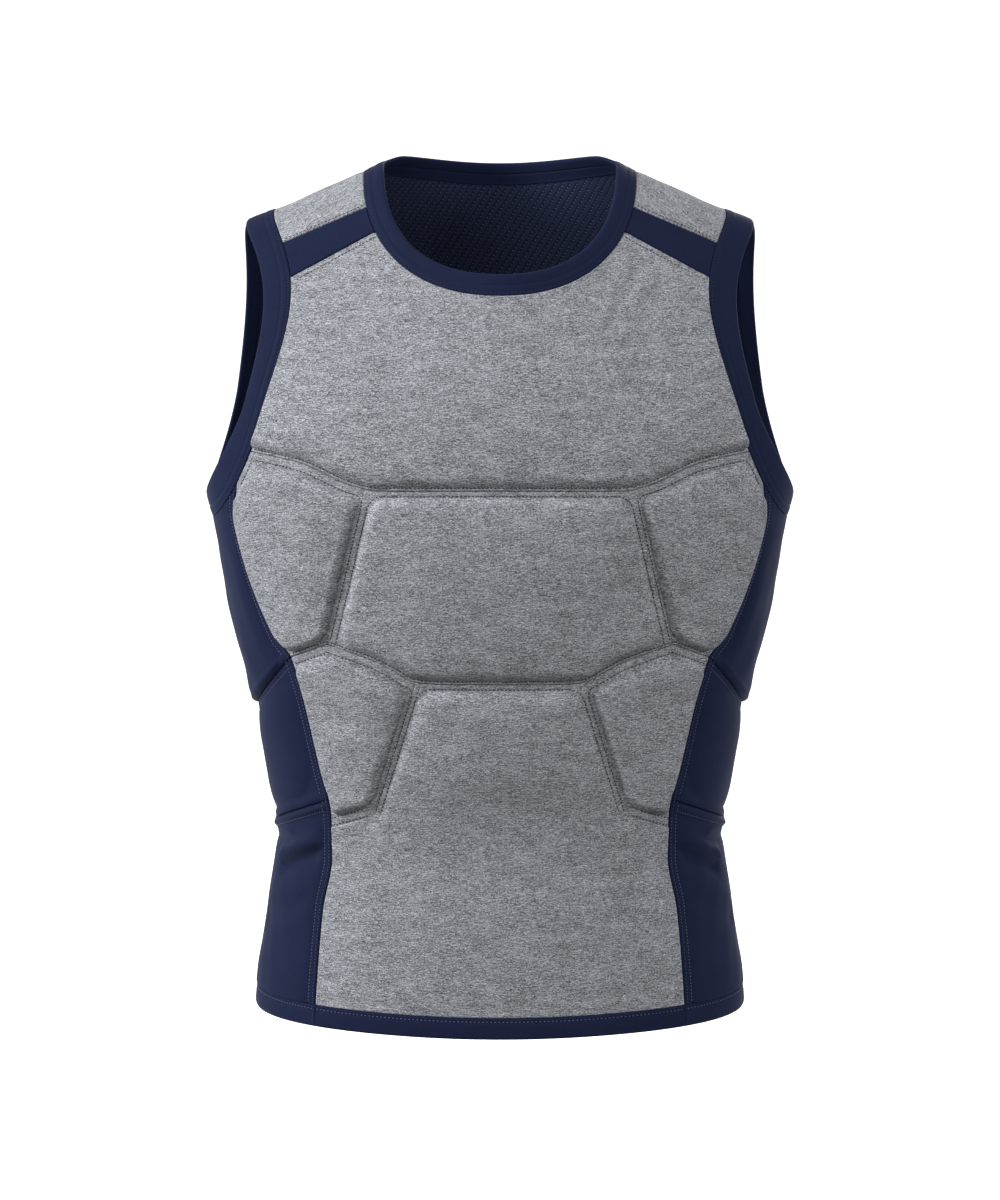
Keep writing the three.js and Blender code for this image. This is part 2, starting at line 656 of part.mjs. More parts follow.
// The back is laid out in three parts: up to the neck, and one part over each shoulder to its strip
const [[armX, armRunUp], [neckX, neckRunUp]] = [arm.over[0], neck.back[0]].map(BACK.flat);
const shoulderLine = seam(STEPS.strip, 0, 1, (t) =>
  BACK.onBody(armX + (neckX - armX) * t, armRunUp + (neckRunUp - armRunUp) * t),
);
const rear = sideSeams.back;
const rearEdge = join(back(rear.lower), back(rear.foot), back(rear.middle), back(rear.upper), arm.back);
const shoulder = { low: shoulderLine, top: back(strip.top), left: arm.over, right: back(neck.over) };
const backParts = [
  {
    low: hemTop.back,
    top: join(shoulderLine, neck.back, otherSide(shoulderLine)),
    left: rearEdge,
    right: mirror(rearEdge),
  },
  shoulder,
  {
    low: otherSide(shoulder.low),
    top: otherSide(shoulder.top),
    left: mirror(shoulder.right),
    right: mirror(shoulder.left),
  },
];
const plain = (run) => lines(run.length - 1, false, false);
const backGrids = backParts.map((seams) => layOut(BACK, seams, plain(seams.low), plain(seams.left)));
const backWall = (inner, outer) =>
  wallGeometry(backGrids.map((grid) => spotted(grid, () => inner, () => outer)));
add("back_panel", backWall(WALL_INNER, WALL_OUTER), GREY);
add("back_lining", backWall(LINING.inner, LINING.outer), MESH_NAVY);

export default vest;
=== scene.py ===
from types import SimpleNamespace
import bpy
import numpy as np
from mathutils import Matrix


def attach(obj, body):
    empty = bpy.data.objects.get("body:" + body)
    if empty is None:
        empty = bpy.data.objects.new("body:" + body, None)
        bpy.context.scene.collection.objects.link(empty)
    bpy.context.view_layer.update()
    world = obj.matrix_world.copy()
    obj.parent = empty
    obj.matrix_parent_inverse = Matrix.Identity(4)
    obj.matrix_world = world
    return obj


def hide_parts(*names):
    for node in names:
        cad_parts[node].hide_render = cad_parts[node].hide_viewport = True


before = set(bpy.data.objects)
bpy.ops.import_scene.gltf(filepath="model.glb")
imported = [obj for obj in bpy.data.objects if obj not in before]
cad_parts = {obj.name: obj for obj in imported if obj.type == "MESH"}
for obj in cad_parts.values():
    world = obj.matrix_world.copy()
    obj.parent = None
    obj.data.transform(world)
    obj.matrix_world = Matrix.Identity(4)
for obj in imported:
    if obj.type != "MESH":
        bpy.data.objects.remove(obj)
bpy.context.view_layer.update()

# A padded contact vest in its worn shape: grey marl panels over foam, navy stretch sides and bands.
# Every panel is worked out in millimetres on one smooth body form, between seams that neighbours share,
# and goes into its mesh in metres. Front towards -Y, +X to the wearer's left, +Z up.
MM = 0.001

# Body form
ARMPIT_Z = -250.0
SECTION_POWER = 2.4
RIDGE_Y = 10.0
RIDGE = SimpleNamespace(x=102.0, z=11.9, slope=0.42, round=25.0, neck_rise=36.0, neck_reach=48.0)
# Columns: height, half width, depth in front, depth behind
SECTIONS = np.array([
    (-625, 184.5, 117, 113), (-594, 182, 116, 112), (-560, 176.5, 115, 110), (-520, 170.5, 113, 105),
    (-485, 166, 111, 101), (-440, 170.5, 113, 101), (-385, 180.5, 117, 105), (-340, 190.5, 121, 110),
    (-300, 199, 124, 115), (-250, 211.5, 127, 121), (-225, 217.5, 127, 124), (-150, 226, 123, 128),
    (-60, 229, 112, 126), (40, 230, 98, 118),
])

# Neck and arm openings, each with the seam of its band
NECK_OPENING = SimpleNamespace(half=85.5, front_z=-61.5, front_power=2.4, back_z=21.7)
NECK_SEAM = SimpleNamespace(half=100.5, front_z=-77.0, front_power=2.25, back_z=6.5)
NECK_RISE = SimpleNamespace(height=4.6, middle_power=5, start=0.25, under_ridge=0.6)
NECK_SEAM_ROUND, NECK_OPENING_ROUND = 8.0, 9.0
ARM_OPENING = SimpleNamespace(
    top_z=-24.1, mid_z=-150.0, low_z=-223.0, front=78.0, back=59.0, up_power=1.2, low_power=1.0)
ARM_SEAM = SimpleNamespace(
    top_z=-15.4, mid_z=-160.0, low_z=-241.0, front=88.5, back=73.0, up_power=1.17, low_power=0.6)
ARM_MIDDLE_Z = -140.0

# Heights on the armhole and neck seams where other seams meet them
STRIP_TOP = SimpleNamespace(arm_z=-39.5, neck_z=-13.0)
STRIP_LOW = SimpleNamespace(arm_z=-64.5, neck_z=-31.0)
YOKE_ARM_Z = -190.0
SIDE_TOP_Z = -213.5
SHOULDER_TURN = SimpleNamespace(arm=0.2, neck=1.8)
# Seams of the front as (x, z), and the side seam as (z, x), for the wearer's left half
YOKE = [(0, -216), (88, -216.5), (104, -213.5), (145, -197), (181, -190)]
WAIST = [(0, -357), (46, -357), (62, -355.5), (76, -348), (90, -341), (125.5, -329.5)]
UPPER_CHANNEL_X = 99.0
WAIST_PEAK_X = 125.5
LOWER_CHANNEL = SimpleNamespace(top_x=62.0, low_x=92.5, low_z=-456.5)
SIDE_SEAM = [
    (-213.5, 191.5), (-235, 193), (-255, 189.5), (-325, 164.5), (-341, 152.5), (-425, 131), (-460, 123.5),
    (-490, 123), (-530, 130), (-602, 136), (-625, 137),
]
SIDE_LEAD = 40.0
SIDE_WAIST_Z = -341.0
SIDE_LOWER_Z = -447.0
PAD_FOOT_Z = -467.5
UPPER_SAG = SimpleNamespace(z=-385.0, power=1.7)
LOWER_SAG = SimpleNamespace(z=-473.5, power=1.3)
HEM = SimpleNamespace(z=-616.0, front_drop=5.0, height=16.0)

# Cloth: offsets from the body form
LINING_INNER, LINING_OUTER = 0.2, 0.9
WALL_INNER = 1.5
CLOTH = 3.2
FOLD_WALL, FOLD_END, FOLD_FADE, FOLD_TURN, FOLD_PEAK = 1.6, 9.0, 10.0, 2.0, 2.33
RIPPLE = SimpleNamespace(waves=14, shortest=18, longest=70, lead=5.0)
SEAM_GAP = 0.1
LIP = SimpleNamespace(reach=1.3, top=1.42, under=1.0, ease=0.25)
GROOVE = SimpleNamespace(depth=1.3, reach=0.5)
DENT = SimpleNamespace(depth=0.4, reach=0.45)
CREASE_REACH, CREASE_MIX = 0.9, 2.0
BEVEL_POWER, CROWN_POWER = 2.2, 0.8
ROLL = SimpleNamespace(at=3.6, reach=3.2, end=8.0)
SHARP = np.radians(65)


def vec(x, y, z):
    """Points from three coordinates that are spread to one shape."""
    return np.stack(np.broadcast_arrays(x, y, z), -1).astype(float)


def unit(v):
    return v / np.maximum(np.linalg.norm(v, axis=-1, keepdims=True), 1e-12)


def bell(distance, reach):
    """A bell curve of a distance: 1 at 0, 1 / e at its reach."""
    return np.exp(-((distance / reach) ** 2))


def through(rows):
    """y as a function of x through (x, y) rows, in cubic pieces whose end slopes are the harmonic
    means of the slopes beside them, so that the curve never swings past a row."""
    rows = np.array(rows, float)
    x, y = rows[rows[:, 0].argsort()].T
    slope = np.diff(y) / np.diff(x)
    product = slope[:-1] * slope[1:]
    total = np.where(product > 0, slope[:-1] + slope[1:], 1)
    tangent = np.concatenate([slope[:1], np.where(product > 0, 2 * product / total, 0), slope[-1:]])

    def at(q):
        q = np.asarray(q, float)
        i = np.clip(np.searchsorted(x, q) - 1, 0, len(x) - 2)
        h = x[i + 1] - x[i]
        t = np.clip((q - x[i]) / h, 0, 1)
        inside = (
            (2 * t**3 - 3 * t**2 + 1) * y[i] + (t**3 - 2 * t**2 + t) * h * tangent[i]
            + (3 * t**2 - 2 * t**3) * y[i + 1] + (t**3 - t**2) * h * tangent[i + 1]
        )
        return inside + np.minimum(q - x[0], 0) * tangent[0] + np.maximum(q - x[-1], 0) * tangent[-1]

    return at


half_width, front_depth, back_depth = (through(SECTIONS[:, [0, k]]) for k in (1, 2, 3))
yoke_z, waist_z, side_seam_x = through(YOKE), through(WAIST), through(SIDE_SEAM)


def ridge_z(x):
    """Height of the shoulder ridge: a straight slope outwards, with a bell-shaped rise at the neck."""
    out = np.hypot(x, RIDGE.round) - np.hypot(RIDGE.x, RIDGE.round)
    return RIDGE.z - RIDGE.slope * out + RIDGE.neck_rise * bell(x, RIDGE.neck_reach)


def depth_left(x, z):
    """Share of the full depth at a height: 1 up to the armpit, then a quarter ellipse to 0 on the ridge."""
    up = np.maximum(0, (z - ARMPIT_Z) / (ridge_z(x) - ARMPIT_Z))
    return np.sqrt(np.maximum(0, 1 - up**2))


def body_form(p):
    """Negative inside the form, zero on it: sections |y / depth|^n + |x / half|^n = 1 with n = 2.4,
    whose depth shrinks by depth_left above the armpit, about a middle that drifts to the ridge."""
    x, y, z = np.moveaxis(p, -1, 0)
    left = depth_left(x, z)
    middle = RIDGE_Y * (1 - left)
    depth = np.where(y < middle, front_depth(z), back_depth(z))
    across = np.minimum(3, np.abs(x) / half_width(z)) ** SECTION_POWER
    return (np.abs(y - middle) / depth) ** SECTION_POWER - left**SECTION_POWER * (1 - across)


FARTHEST, HALVINGS, SETTLE_DEPTH = 420.0, 38, 25.0


def leave(start, way):
    """Where rays from inside leave the form, by halving the stretch that holds the crossing."""
    start, way = np.broadcast_arrays(start, way)
    near, far = np.zeros(start.shape[:-1]), np.full(start.shape[:-1], FARTHEST)
    for _ in range(HALVINGS):
        middle = (near + far) / 2
        inside = body_form(start + way * middle[..., None]) < 0
        near, far = np.where(inside, middle, near), np.where(inside, far, middle)
    return start + way * far[..., None]


def outward(p):
    """Outward unit normals: the form's slope by central differences over 1 mm."""
    steps = 0.5 * np.eye(3)
    return unit(np.stack([body_form(p + s) - body_form(p - s) for s in steps], -1))


def settle(p):
    """Points near the form moved onto it along its normals."""
    n = outward(p)
    return leave(p - SETTLE_DEPTH * n, n)


def straight_out(x, z, way):
    """The form's points straight in front of (way -1) or behind (way 1) its middle."""
    return leave(vec(x, RIDGE_Y * (1 - depth_left(x, z)), z), np.array([0.0, way, 0.0]))


# Flat views of the form, in which panels are laid out before they are put on the body
LAP = 200.0
FRONT = SimpleNamespace(
    flat=lambda p: (p[..., 0], p[..., 2]),
    onto=lambda x, z: straight_out(x, z, -1),
)
AROUND = SimpleNamespace(
    flat=lambda p: (np.arctan2(p[..., 0], -p[..., 1]), p[..., 2]),
    onto=lambda turn, z: leave(vec(0, 0, z), vec(np.sin(turn), -np.cos(turn), 0)),
)


def back_flat(p):
    run = ARMPIT_Z + LAP * np.arctan2(p[..., 2] - ARMPIT_Z, p[..., 1])
    return p[..., 0], np.where(p[..., 2] < ARMPIT_Z, p[..., 2], run)


def back_onto(x, run):
    """Straight out behind below the armpit, then fanning up and over the shoulder from that level."""
    turn = np.maximum(0, run - ARMPIT_Z) / LAP
    return leave(vec(x, 0, np.minimum(run, ARMPIT_Z)), vec(0, np.cos(turn), np.sin(turn)))


BACK = SimpleNamespace(flat=back_flat, onto=back_onto)


FULL = 2 * np.pi


def lengths(points):
    """Distance along a run of points, from its start to each of them."""
    return np.concatenate([[0], np.cumsum(np.linalg.norm(np.diff(points, axis=0), axis=1))])


def at_places(points, places, want):
    """Points of a run at wanted places along it, its own points being at the given ones."""
    return np.stack([np.interp(want, places, c) for c in points.T], -1)


def even(points, step=1.0):
    """A run of points spaced evenly along its length, about one step apart."""
    far = lengths(points)
    want = np.linspace(0, far[-1], max(3, int(round(far[-1] / step)) + 1))
    return at_places(points, far, want)


SEAM_SAMPLES, LOOP_SAMPLES, LOOP_POINTS = 700, 1500, 900


def seam(make, start, stop):
    """A seam that make(t) gives from start to stop, as even points about 1 mm apart."""
    return even(make(np.linspace(start, stop, SEAM_SAMPLES)))


def mirror(points):
    return points * np.array([-1.0, 1.0, 1.0])


def arm_point(loop, turn):
    """Armhole loop: height follows the cosine of the turn, distance from the ridge plane a power of its
    sine, cast sideways. Turn 0 is the ridge, then down the front, pi the armpit, and up the back."""
    c, s = np.cos(turn), np.sin(turn)
    z = loop.mid_z + np.where(c > 0, loop.top_z - loop.mid_z, loop.mid_z - loop.low_z) * c
    power = np.where(c > 0, loop.up_power, loop.low_power)
    wide = np.abs(s) ** power * np.where(s > 0, -loop.front, loop.back)
    return leave(vec(0, RIDGE_Y * (0.5 + 0.5 * c) + wide, z), np.array([1.0, 0, 0]))


def arm_turn(z):
    """The turn at which the front of the armhole seam passes a height."""
    a = ARM_SEAM
    return np.arccos((z - a.mid_z) / (a.top_z - a.mid_z if z > a.mid_z else a.mid_z - a.low_z))


def neck_point(loop, turn):
    """Neck loop: a superellipse in front and an ellipse behind, from the ridge down to its lowest points,
    with a rise behind the ridge. Turn 0 is the front, pi / 2 the left ridge, pi the back."""
    top = ridge_z(loop.half)
    c, s = np.cos(turn), np.sin(turn)
    power = np.where(c > 0, 2 / loop.front_power, 1.0)
    x = loop.half * np.sign(s) * np.abs(s) ** power
    z = top - (top - np.where(c > 0, loop.front_z, loop.back_z)) * np.abs(c) ** power
    rise = NECK_RISE.height * (1 - np.abs(c) ** NECK_RISE.middle_power) * (1 - bell(c, NECK_RISE.start))
    z = np.where(c > 0, z, np.minimum(z + rise, ridge_z(x) - NECK_RISE.under_ridge))
    start = vec(x, RIDGE_Y * (1 - depth_left(x, z)), z)
    return leave(start, vec(0, np.where(c > 0, -1.0, 1.0), 0))


def rounded_loop(points, reach):
    """A closed loop with its corners rounded: each point the bell-weighted mean of those beside it."""
    steps = np.arange(-int(3 * reach), int(3 * reach) + 1)
    weights = np.exp(-0.5 * (steps / reach) ** 2)
    return sum(w * np.roll(points, -s, axis=0) for w, s in zip(weights / weights.sum(), steps))


def rounded_neck(loop, reach):
    """A neck loop rounded over the ridge and put back on the form, as a function of the turn."""
    turns = np.linspace(-np.pi, np.pi, LOOP_SAMPLES)
    far = lengths(neck_point(loop, turns))
    even_turns = np.interp(np.linspace(0, far[-1], LOOP_POINTS, endpoint=False), far, turns)
    points = settle(rounded_loop(neck_point(loop, even_turns), reach * LOOP_POINTS / far[-1]))
    return lambda turn: np.stack([np.interp(turn, even_turns, c, period=FULL) for c in points.T], -1)


def neck_turn(z):
    """The turn at which the front of the neck seam passes a height."""
    top = ridge_z(NECK_SEAM.half)
    return np.arccos(((top - z) / (top - NECK_SEAM.front_z)) ** (NECK_SEAM.front_power / 2))


def straight(a, b):
    """A seam that is straight in the front view."""
    return seam(lambda t: FRONT.onto(a[0] + (b[0] - a[0]) * t, a[2] + (b[2] - a[2]) * t), 0, 1)


# Seams of the wearer's left half
TURN = SimpleNamespace(
    strip_top=arm_turn(STRIP_TOP.arm_z), strip_low=arm_turn(STRIP_LOW.arm_z),
    yoke=arm_turn(YOKE_ARM_Z), side=arm_turn(SIDE_TOP_Z),
    neck_top=neck_turn(STRIP_TOP.neck_z), neck_low=neck_turn(STRIP_LOW.neck_z),
)
neck_seam_at = rounded_neck(NECK_SEAM, NECK_SEAM_ROUND)
neck_opening_at = rounded_neck(NECK_OPENING, NECK_OPENING_ROUND)


def arm_run(start, stop):
    return seam(lambda t: arm_point(ARM_SEAM, t), start, stop)


def neck_run(start, stop):
    return seam(neck_seam_at, start, stop)


arm = SimpleNamespace(
    strip=arm_run(TURN.strip_top, TURN.strip_low),
    chest=arm_run(TURN.strip_low, TURN.yoke),
    upper=arm_run(TURN.yoke, TURN.side),
    under=arm_run(TURN.side, FULL - TURN.side),
    back=arm_run(FULL - TURN.side, FULL - SHOULDER_TURN.arm),
    over=arm_run(FULL - SHOULDER_TURN.arm, FULL + TURN.strip_top),
)
neck = SimpleNamespace(
    front=neck_run(-TURN.neck_low, TURN.neck_low),
    strip=neck_run(TURN.neck_low, TURN.neck_top),
    over=neck_run(TURN.neck_top, SHOULDER_TURN.neck),
    back=neck_run(SHOULDER_TURN.neck, FULL - SHOULDER_TURN.neck),
)
strip = SimpleNamespace(
    top=straight(neck.strip[-1], arm.strip[0]),
    low=straight(neck.strip[0], arm.chest[0]),
)


def yoke_side_at(t):
    """The yoke seam from the upper channel out to the armhole seam, which it meets exactly."""
    x = UPPER_CHANNEL_X + (arm.chest[-1][0] - UPPER_CHANNEL_X) * t
    miss = arm.chest[-1][2] - yoke_z(arm.chest[-1][0])
    return FRONT.onto(x, yoke_z(x) + miss * t**2)


yoke = SimpleNamespace(
    middle=seam(lambda x: FRONT.onto(x, yoke_z(np.abs(x))), -UPPER_CHANNEL_X, UPPER_CHANNEL_X),
    side=seam(yoke_side_at, 0, 1),
)


def side_run(start_z, stop_z, way, top_x):
    """The side seam from one height to another, on the front (way -1) or the back (way 1), led into the
    armhole seam over its first stretch."""
    def at(z):
        lead = np.maximum(0, 1 - (SIDE_TOP_Z - z) / SIDE_LEAD)
        return straight_out(side_seam_x(z) + (top_x - side_seam_x(SIDE_TOP_Z)) * lead, z, way)
    return seam(at, start_z, stop_z)


def hem_top_z(turn):
    """Top of the hem band: level, dipping towards the middle of the front."""
    return HEM.z + HEM.height - HEM.front_drop * np.maximum(0, np.cos(turn)) ** 2


def side_seam(way, top_x):
    corner = straight_out(side_seam_x(HEM.z), HEM.z, way)
    foot_z = hem_top_z(AROUND.flat(corner)[0]) if way < 0 else HEM.z + HEM.height
    return SimpleNamespace(
        upper=side_run(SIDE_TOP_Z, SIDE_WAIST_Z, way, top_x),
        middle=side_run(SIDE_WAIST_Z, SIDE_LOWER_Z, way, top_x),
        foot=side_run(SIDE_LOWER_Z, PAD_FOOT_Z, way, top_x),
        lower=side_run(PAD_FOOT_Z, foot_z, way, top_x),
    )


front_seam = side_seam(-1, arm.under[0][0])
rear_seam = side_seam(1, arm.under[-1][0])


def waist_at(x):
    return FRONT.onto(x, waist_z(np.abs(x)))


waist_peak = waist_at(np.array(WAIST_PEAK_X))
waist = SimpleNamespace(
    slope=seam(waist_at, WAIST_PEAK_X, LOWER_CHANNEL.top_x),
    middle=seam(waist_at, LOWER_CHANNEL.top_x, -LOWER_CHANNEL.top_x),
    side=straight(front_seam.upper[-1], waist_peak),
)
pad_corner = FRONT.onto(np.array(LOWER_CHANNEL.low_x), np.array(LOWER_CHANNEL.low_z))
channel = SimpleNamespace(
    upper=straight(yoke.middle[-1], waist_peak),
    lower=straight(waist.slope[-1], pad_corner),
    foot=straight(pad_corner, front_seam.foot[-1]),
)


def sagging(sag, a, b):
    """A seam across the side panel: its height falls from both ends by a power of the way to the middle."""
    (turn_a, z_a), (turn_b, z_b) = AROUND.flat(a), AROUND.flat(b)

    def at(t):
        end_z = np.where(t < 0.5, z_a, z_b)
        bow = np.abs(2 * t - 1) ** sag.power
        return AROUND.onto(turn_a + (turn_b - turn_a) * t, sag.z + (end_z - sag.z) * bow)
    return seam(at, 0, 1)


across = SimpleNamespace(
    upper=sagging(UPPER_SAG, front_seam.upper[-1], rear_seam.upper[-1]),
    lower=sagging(LOWER_SAG, front_seam.middle[-1], rear_seam.middle[-1]),
)


def hem_line(down):
    """The hem band's top edge, or a line so far below it, over the front, the left side and the back."""
    corner, rear = (AROUND.flat(s.lower[-1])[0] for s in (front_seam, rear_seam))

    def at(turn):
        return AROUND.onto(turn, hem_top_z(turn) - down)
    return SimpleNamespace(
        front=seam(at, corner, -corner), side=seam(at, corner, rear), back=seam(at, rear, FULL - rear))


hem_top = hem_line(0)
hem_foot = hem_line(HEM.height)


# Panels
SWELL = SimpleNamespace(step=5.0, cap=6.0, frames=20, slack=0.006, smooth=5, lead=10.0)
SWELL_CLOTH = SimpleNamespace(quality=6, mass=0.3, stiffness=5, bending=3)
# Distances of the grid lines beside a seam, the last being where wider steps begin
FRONT_LINES = np.concatenate([np.arange(0, 8, 0.4), np.arange(8, 17, 1.0)])
SIDE_LINES = np.concatenate([np.arange(0, 8, 0.8), np.arange(8, 17, 1.5)])
BACK_LINES = np.arange(0, 9, 0.8)
FRONT_STEP, BACK_STEP, NARROW_STEP = 2.6, 7.0, 0.8


def graded(width, near=FRONT_LINES, step=FRONT_STEP):
    """Shares of a width for grid lines: close together beside both ends, wider apart between them."""
    reach = near[-1]
    if width < 2.5 * reach:
        return np.linspace(0, 1, int(width / NARROW_STEP) + 2)
    middle = np.linspace(reach, width - reach, int((width - 2 * reach) / step) + 2)
    return np.concatenate([near[:-1], middle, width - near[-2::-1]]) / width


def edge(*runs, shares=None):
    """Runs end to end as an edge: its parameter and points, each run taking its share of the parameter."""
    shares = np.array(shares or [1] * len(runs), float)
    stops = np.concatenate([[0], np.cumsum(shares / shares.sum())])
    pieces = [
        np.column_stack([np.linspace(a, b, len(run)), run])[min(k, 1):]
        for k, (run, a, b) in enumerate(zip(runs, stops, stops[1:]))
    ]
    return np.concatenate(pieces)


def in_three(ends, outer, middle):
    """Grid shares of an edge in three stretches that end at so much of it, the outer two alike."""
    return np.concatenate([
        outer * ends[0], ends[0] + middle[1:] * (ends[1] - ends[0]), ends[1] + outer[1:] * (1 - ends[1])])


def distance_to(points, line):
    """Distance from points to a seam: from the foot on the two pieces of seam beside its nearest point."""
    p = points.reshape(-1, 3)
    square = (line**2).sum(1)
    parts = np.array_split(np.arange(len(p)), len(p) * len(line) // 6_000_000 + 1)
    nearest = np.concatenate([(square - 2 * p[part] @ line.T).argmin(1) for part in parts])
    best = np.full(len(p), np.inf)
    for back in (1, 0):
        i = np.clip(nearest - back, 0, len(line) - 2)
        along = line[i + 1] - line[i]
        t = np.clip(((p - line[i]) * along).sum(1) / (along**2).sum(1), 0, 1)
        best = np.minimum(best, np.linalg.norm(p - line[i] - t[:, None] * along, axis=1))
    return best.reshape(points.shape[:-1])


def border(run, margin=None, rows=(), groove=1.0, crease=0.0, roll=0.0):
    """One side of a panel's relief: the flat margin before its foam (None for no foam edge), the distances
    of its stitch rows, the share of the seam's groove, the depth of the crease at the foam's foot and the
    height of a rolled strip along the seam."""
    return SimpleNamespace(run=run, margin=margin, rows=rows, groove=groove, crease=crease, roll=roll)


def both_borders(run, *values, **more):
    """The same border along a run and along its mirror image."""
    return [border(run, *values, **more), border(mirror(run), *values, **more)]


def ease(value, none, full):
    """0 at one value and 1 at another, with level ends."""
    t = np.clip((value - none) / (full - none), 0, 1)
    return t * t * (3 - 2 * t)


def ripples(points, size, seed):
    """Slow unevenness of soft cloth: the mean of waves of random direction, length and phase."""
    draw = np.random.default_rng(seed)
    count = RIPPLE.waves
    ways = unit(draw.normal(size=(count, 3)))
    ways = ways * (FULL / draw.uniform(RIPPLE.shortest, RIPPLE.longest, (count, 1)))
    phases = draw.uniform(0, FULL, count)
    total = sum(np.sin(points @ way + phase) for way, phase in zip(ways, phases))
    return size * total / np.sqrt(count)


FLIP_CLOTH, MOVE_CLOTH = np.array([-1.0, 1.0]), np.array([171.0, 93.0])


class Panel:
    """A cloth panel on the body form, filled in between four edges that run left to right and low to top
    as seen from outside, with the relief of its foam, seams and stitch rows."""

    def __init__(self, view, low, top, left, right, borders, foam=0.0, bevel=7.5, corner=13.0, fade=None,
                 folds=(), uneven=0.15, seed=1, blow=0.0, blow_fade=None, lips="", lines=FRONT_LINES):
        self.view, self.low, self.top, self.left, self.right = view, low, top, left, right
        self.borders, self.foam, self.bevel, self.corner = borders, foam, bevel, corner
        self.fade, self.folds, self.uneven, self.seed = fade, folds, uneven, seed
        self.blow, self.blow_fade, self.lips, self.lines = blow, blow_fade or fade, lips.split(), lines
        self.width = max(lengths(e[:, 1:])[-1] for e in (low, top))
        self.height = max(lengths(e[:, 1:])[-1] for e in (left, right))

    def flat(self, u, v):
        """Coons patch in the flat view: the two mixes of opposite edges less the mix of the corners."""
        low, top, left, right = (
            at_places(np.stack(self.view.flat(e[:, 1:]), 1), e[:, 0], t)
            for e, t in ((self.low, u), (self.top, u), (self.left, v), (self.right, v)))
        u, v = u[None, :, None], v[:, None, None]
        corners = (1 - v) * ((1 - u) * low[0] + u * low[-1]) + v * ((1 - u) * top[0] + u * top[-1])
        return (1 - v) * low + v * top + (1 - u) * left[:, None] + u * right[:, None] - corners

    def relief(self, points):
        """Height of the cloth over the form: plain cloth, plus the foam's rounded rise past the margins and
        rolled strips, less the crease at the foam's foot, the grooves of the seams and the dents of the
        stitch rows."""
        far = [distance_to(points, b.run) for b in self.borders]
        lift = np.full(points.shape[:-1], CLOTH)
        foam_far = [d - b.margin for d, b in zip(far, self.borders) if b.margin is not None]
        if foam_far:
            short = sum(np.clip(self.corner - d, 0, None) ** 2 for d in foam_far)
            inside = self.corner - np.sqrt(short)
            rise = (1 - (1 - np.clip(inside / self.bevel, 0, 1)) ** BEVEL_POWER) ** CROWN_POWER
            fade = 1 if self.fade is None else ease(points[..., 2], *self.fade)
            near_first = [np.exp((np.min(foam_far, axis=0) - d) / CREASE_MIX) for d in foam_far]
            creases = [b.crease for b in self.borders if b.margin is not None]
            crease = sum(c * w for c, w in zip(creases, near_first)) / sum(near_first)
            lift += (self.foam * rise - crease * bell(inside, CREASE_REACH)) * fade
        for k, (d, b) in enumerate(zip(far, self.borders)):
            if b.roll:
                ends = np.min(far[:k] + far[k + 1:], axis=0)
                lift += b.roll * bell(d - ROLL.at, ROLL.reach) * (1 - bell(ends, ROLL.end))
            lift -= GROOVE.depth * b.groove * bell(d, GROOVE.reach)
            lift -= sum(DENT.depth * bell(d - row, DENT.reach) for row in b.rows)
        near = np.min(far, axis=0)
        lift += (1 - bell(near, RIPPLE.lead)) * ripples(points, self.uneven, self.seed)
        return lift + (1 - bell(near, FOLD_END)) * self.fold_height(points)

    def fold_height(self, points):
        """Soft folds along lines in the flat view: a swell above the line that turns over it into a hollow
        below, s exp(-s^2) in the distance s, fading out past both ends."""
        total = np.zeros(points.shape[:-1])
        for side_a, z_a, side_b, z_b, size, reach in self.folds:
            t = np.linspace(0, 1, 30)
            line = even(self.view.onto(side_a + (side_b - side_a) * t, z_a + (z_b - z_a) * t))
            side, z = self.view.flat(points)
            above = z - z_a - (z_b - z_a) * (side - side_a) / (side_b - side_a)
            s = np.tanh(above / FOLD_TURN) * distance_to(points, line) / reach
            beyond = np.clip(np.abs((side - side_a) / (side_b - side_a) - 0.5) - 0.5, 0, None) * len(line)
            total += size * FOLD_PEAK * s * np.exp(-s * s) * bell(beyond, FOLD_FADE)
        return total

    def swell(self, u, v):
        """Crown of a pad by cloth simulation: a coarse copy of the grid, sewn down along its margins, is
        blown up from behind, and its movement along the normals, capped and averaged over its neighbours,
        is read off at the grid's lines."""
        if not self.blow:
            return 0.0
        count_u, count_v = (int(size / SWELL.step) + 2 for size in (self.width, self.height))
        flat = self.flat(np.linspace(0, 1, count_u), np.linspace(0, 1, count_v))
        points = self.view.onto(flat[..., 0], flat[..., 1])
        normals = outward(points)
        inside = np.min([distance_to(points, b.run) - (b.margin or 0) for b in self.borders], axis=0)
        moved = blown(points, np.clip(1 - inside / SWELL.step, 0, 1), self.blow)
        move = np.clip(((moved - points) * normals).sum(-1), 0, SWELL.cap)
        for _ in range(SWELL.smooth):
            padded = np.pad(move, 1, mode="edge")
            neighbours = padded[1:-1, :-2] + padded[1:-1, 2:] + padded[:-2, 1:-1] + padded[2:, 1:-1]
            move = move / 2 + neighbours / 8
        move *= ease(inside, 0, SWELL.lead)
        if self.blow_fade is not None:
            move *= ease(points[..., 2], *self.blow_fade)
        return between(v, count_v) @ move @ between(u, count_u).T

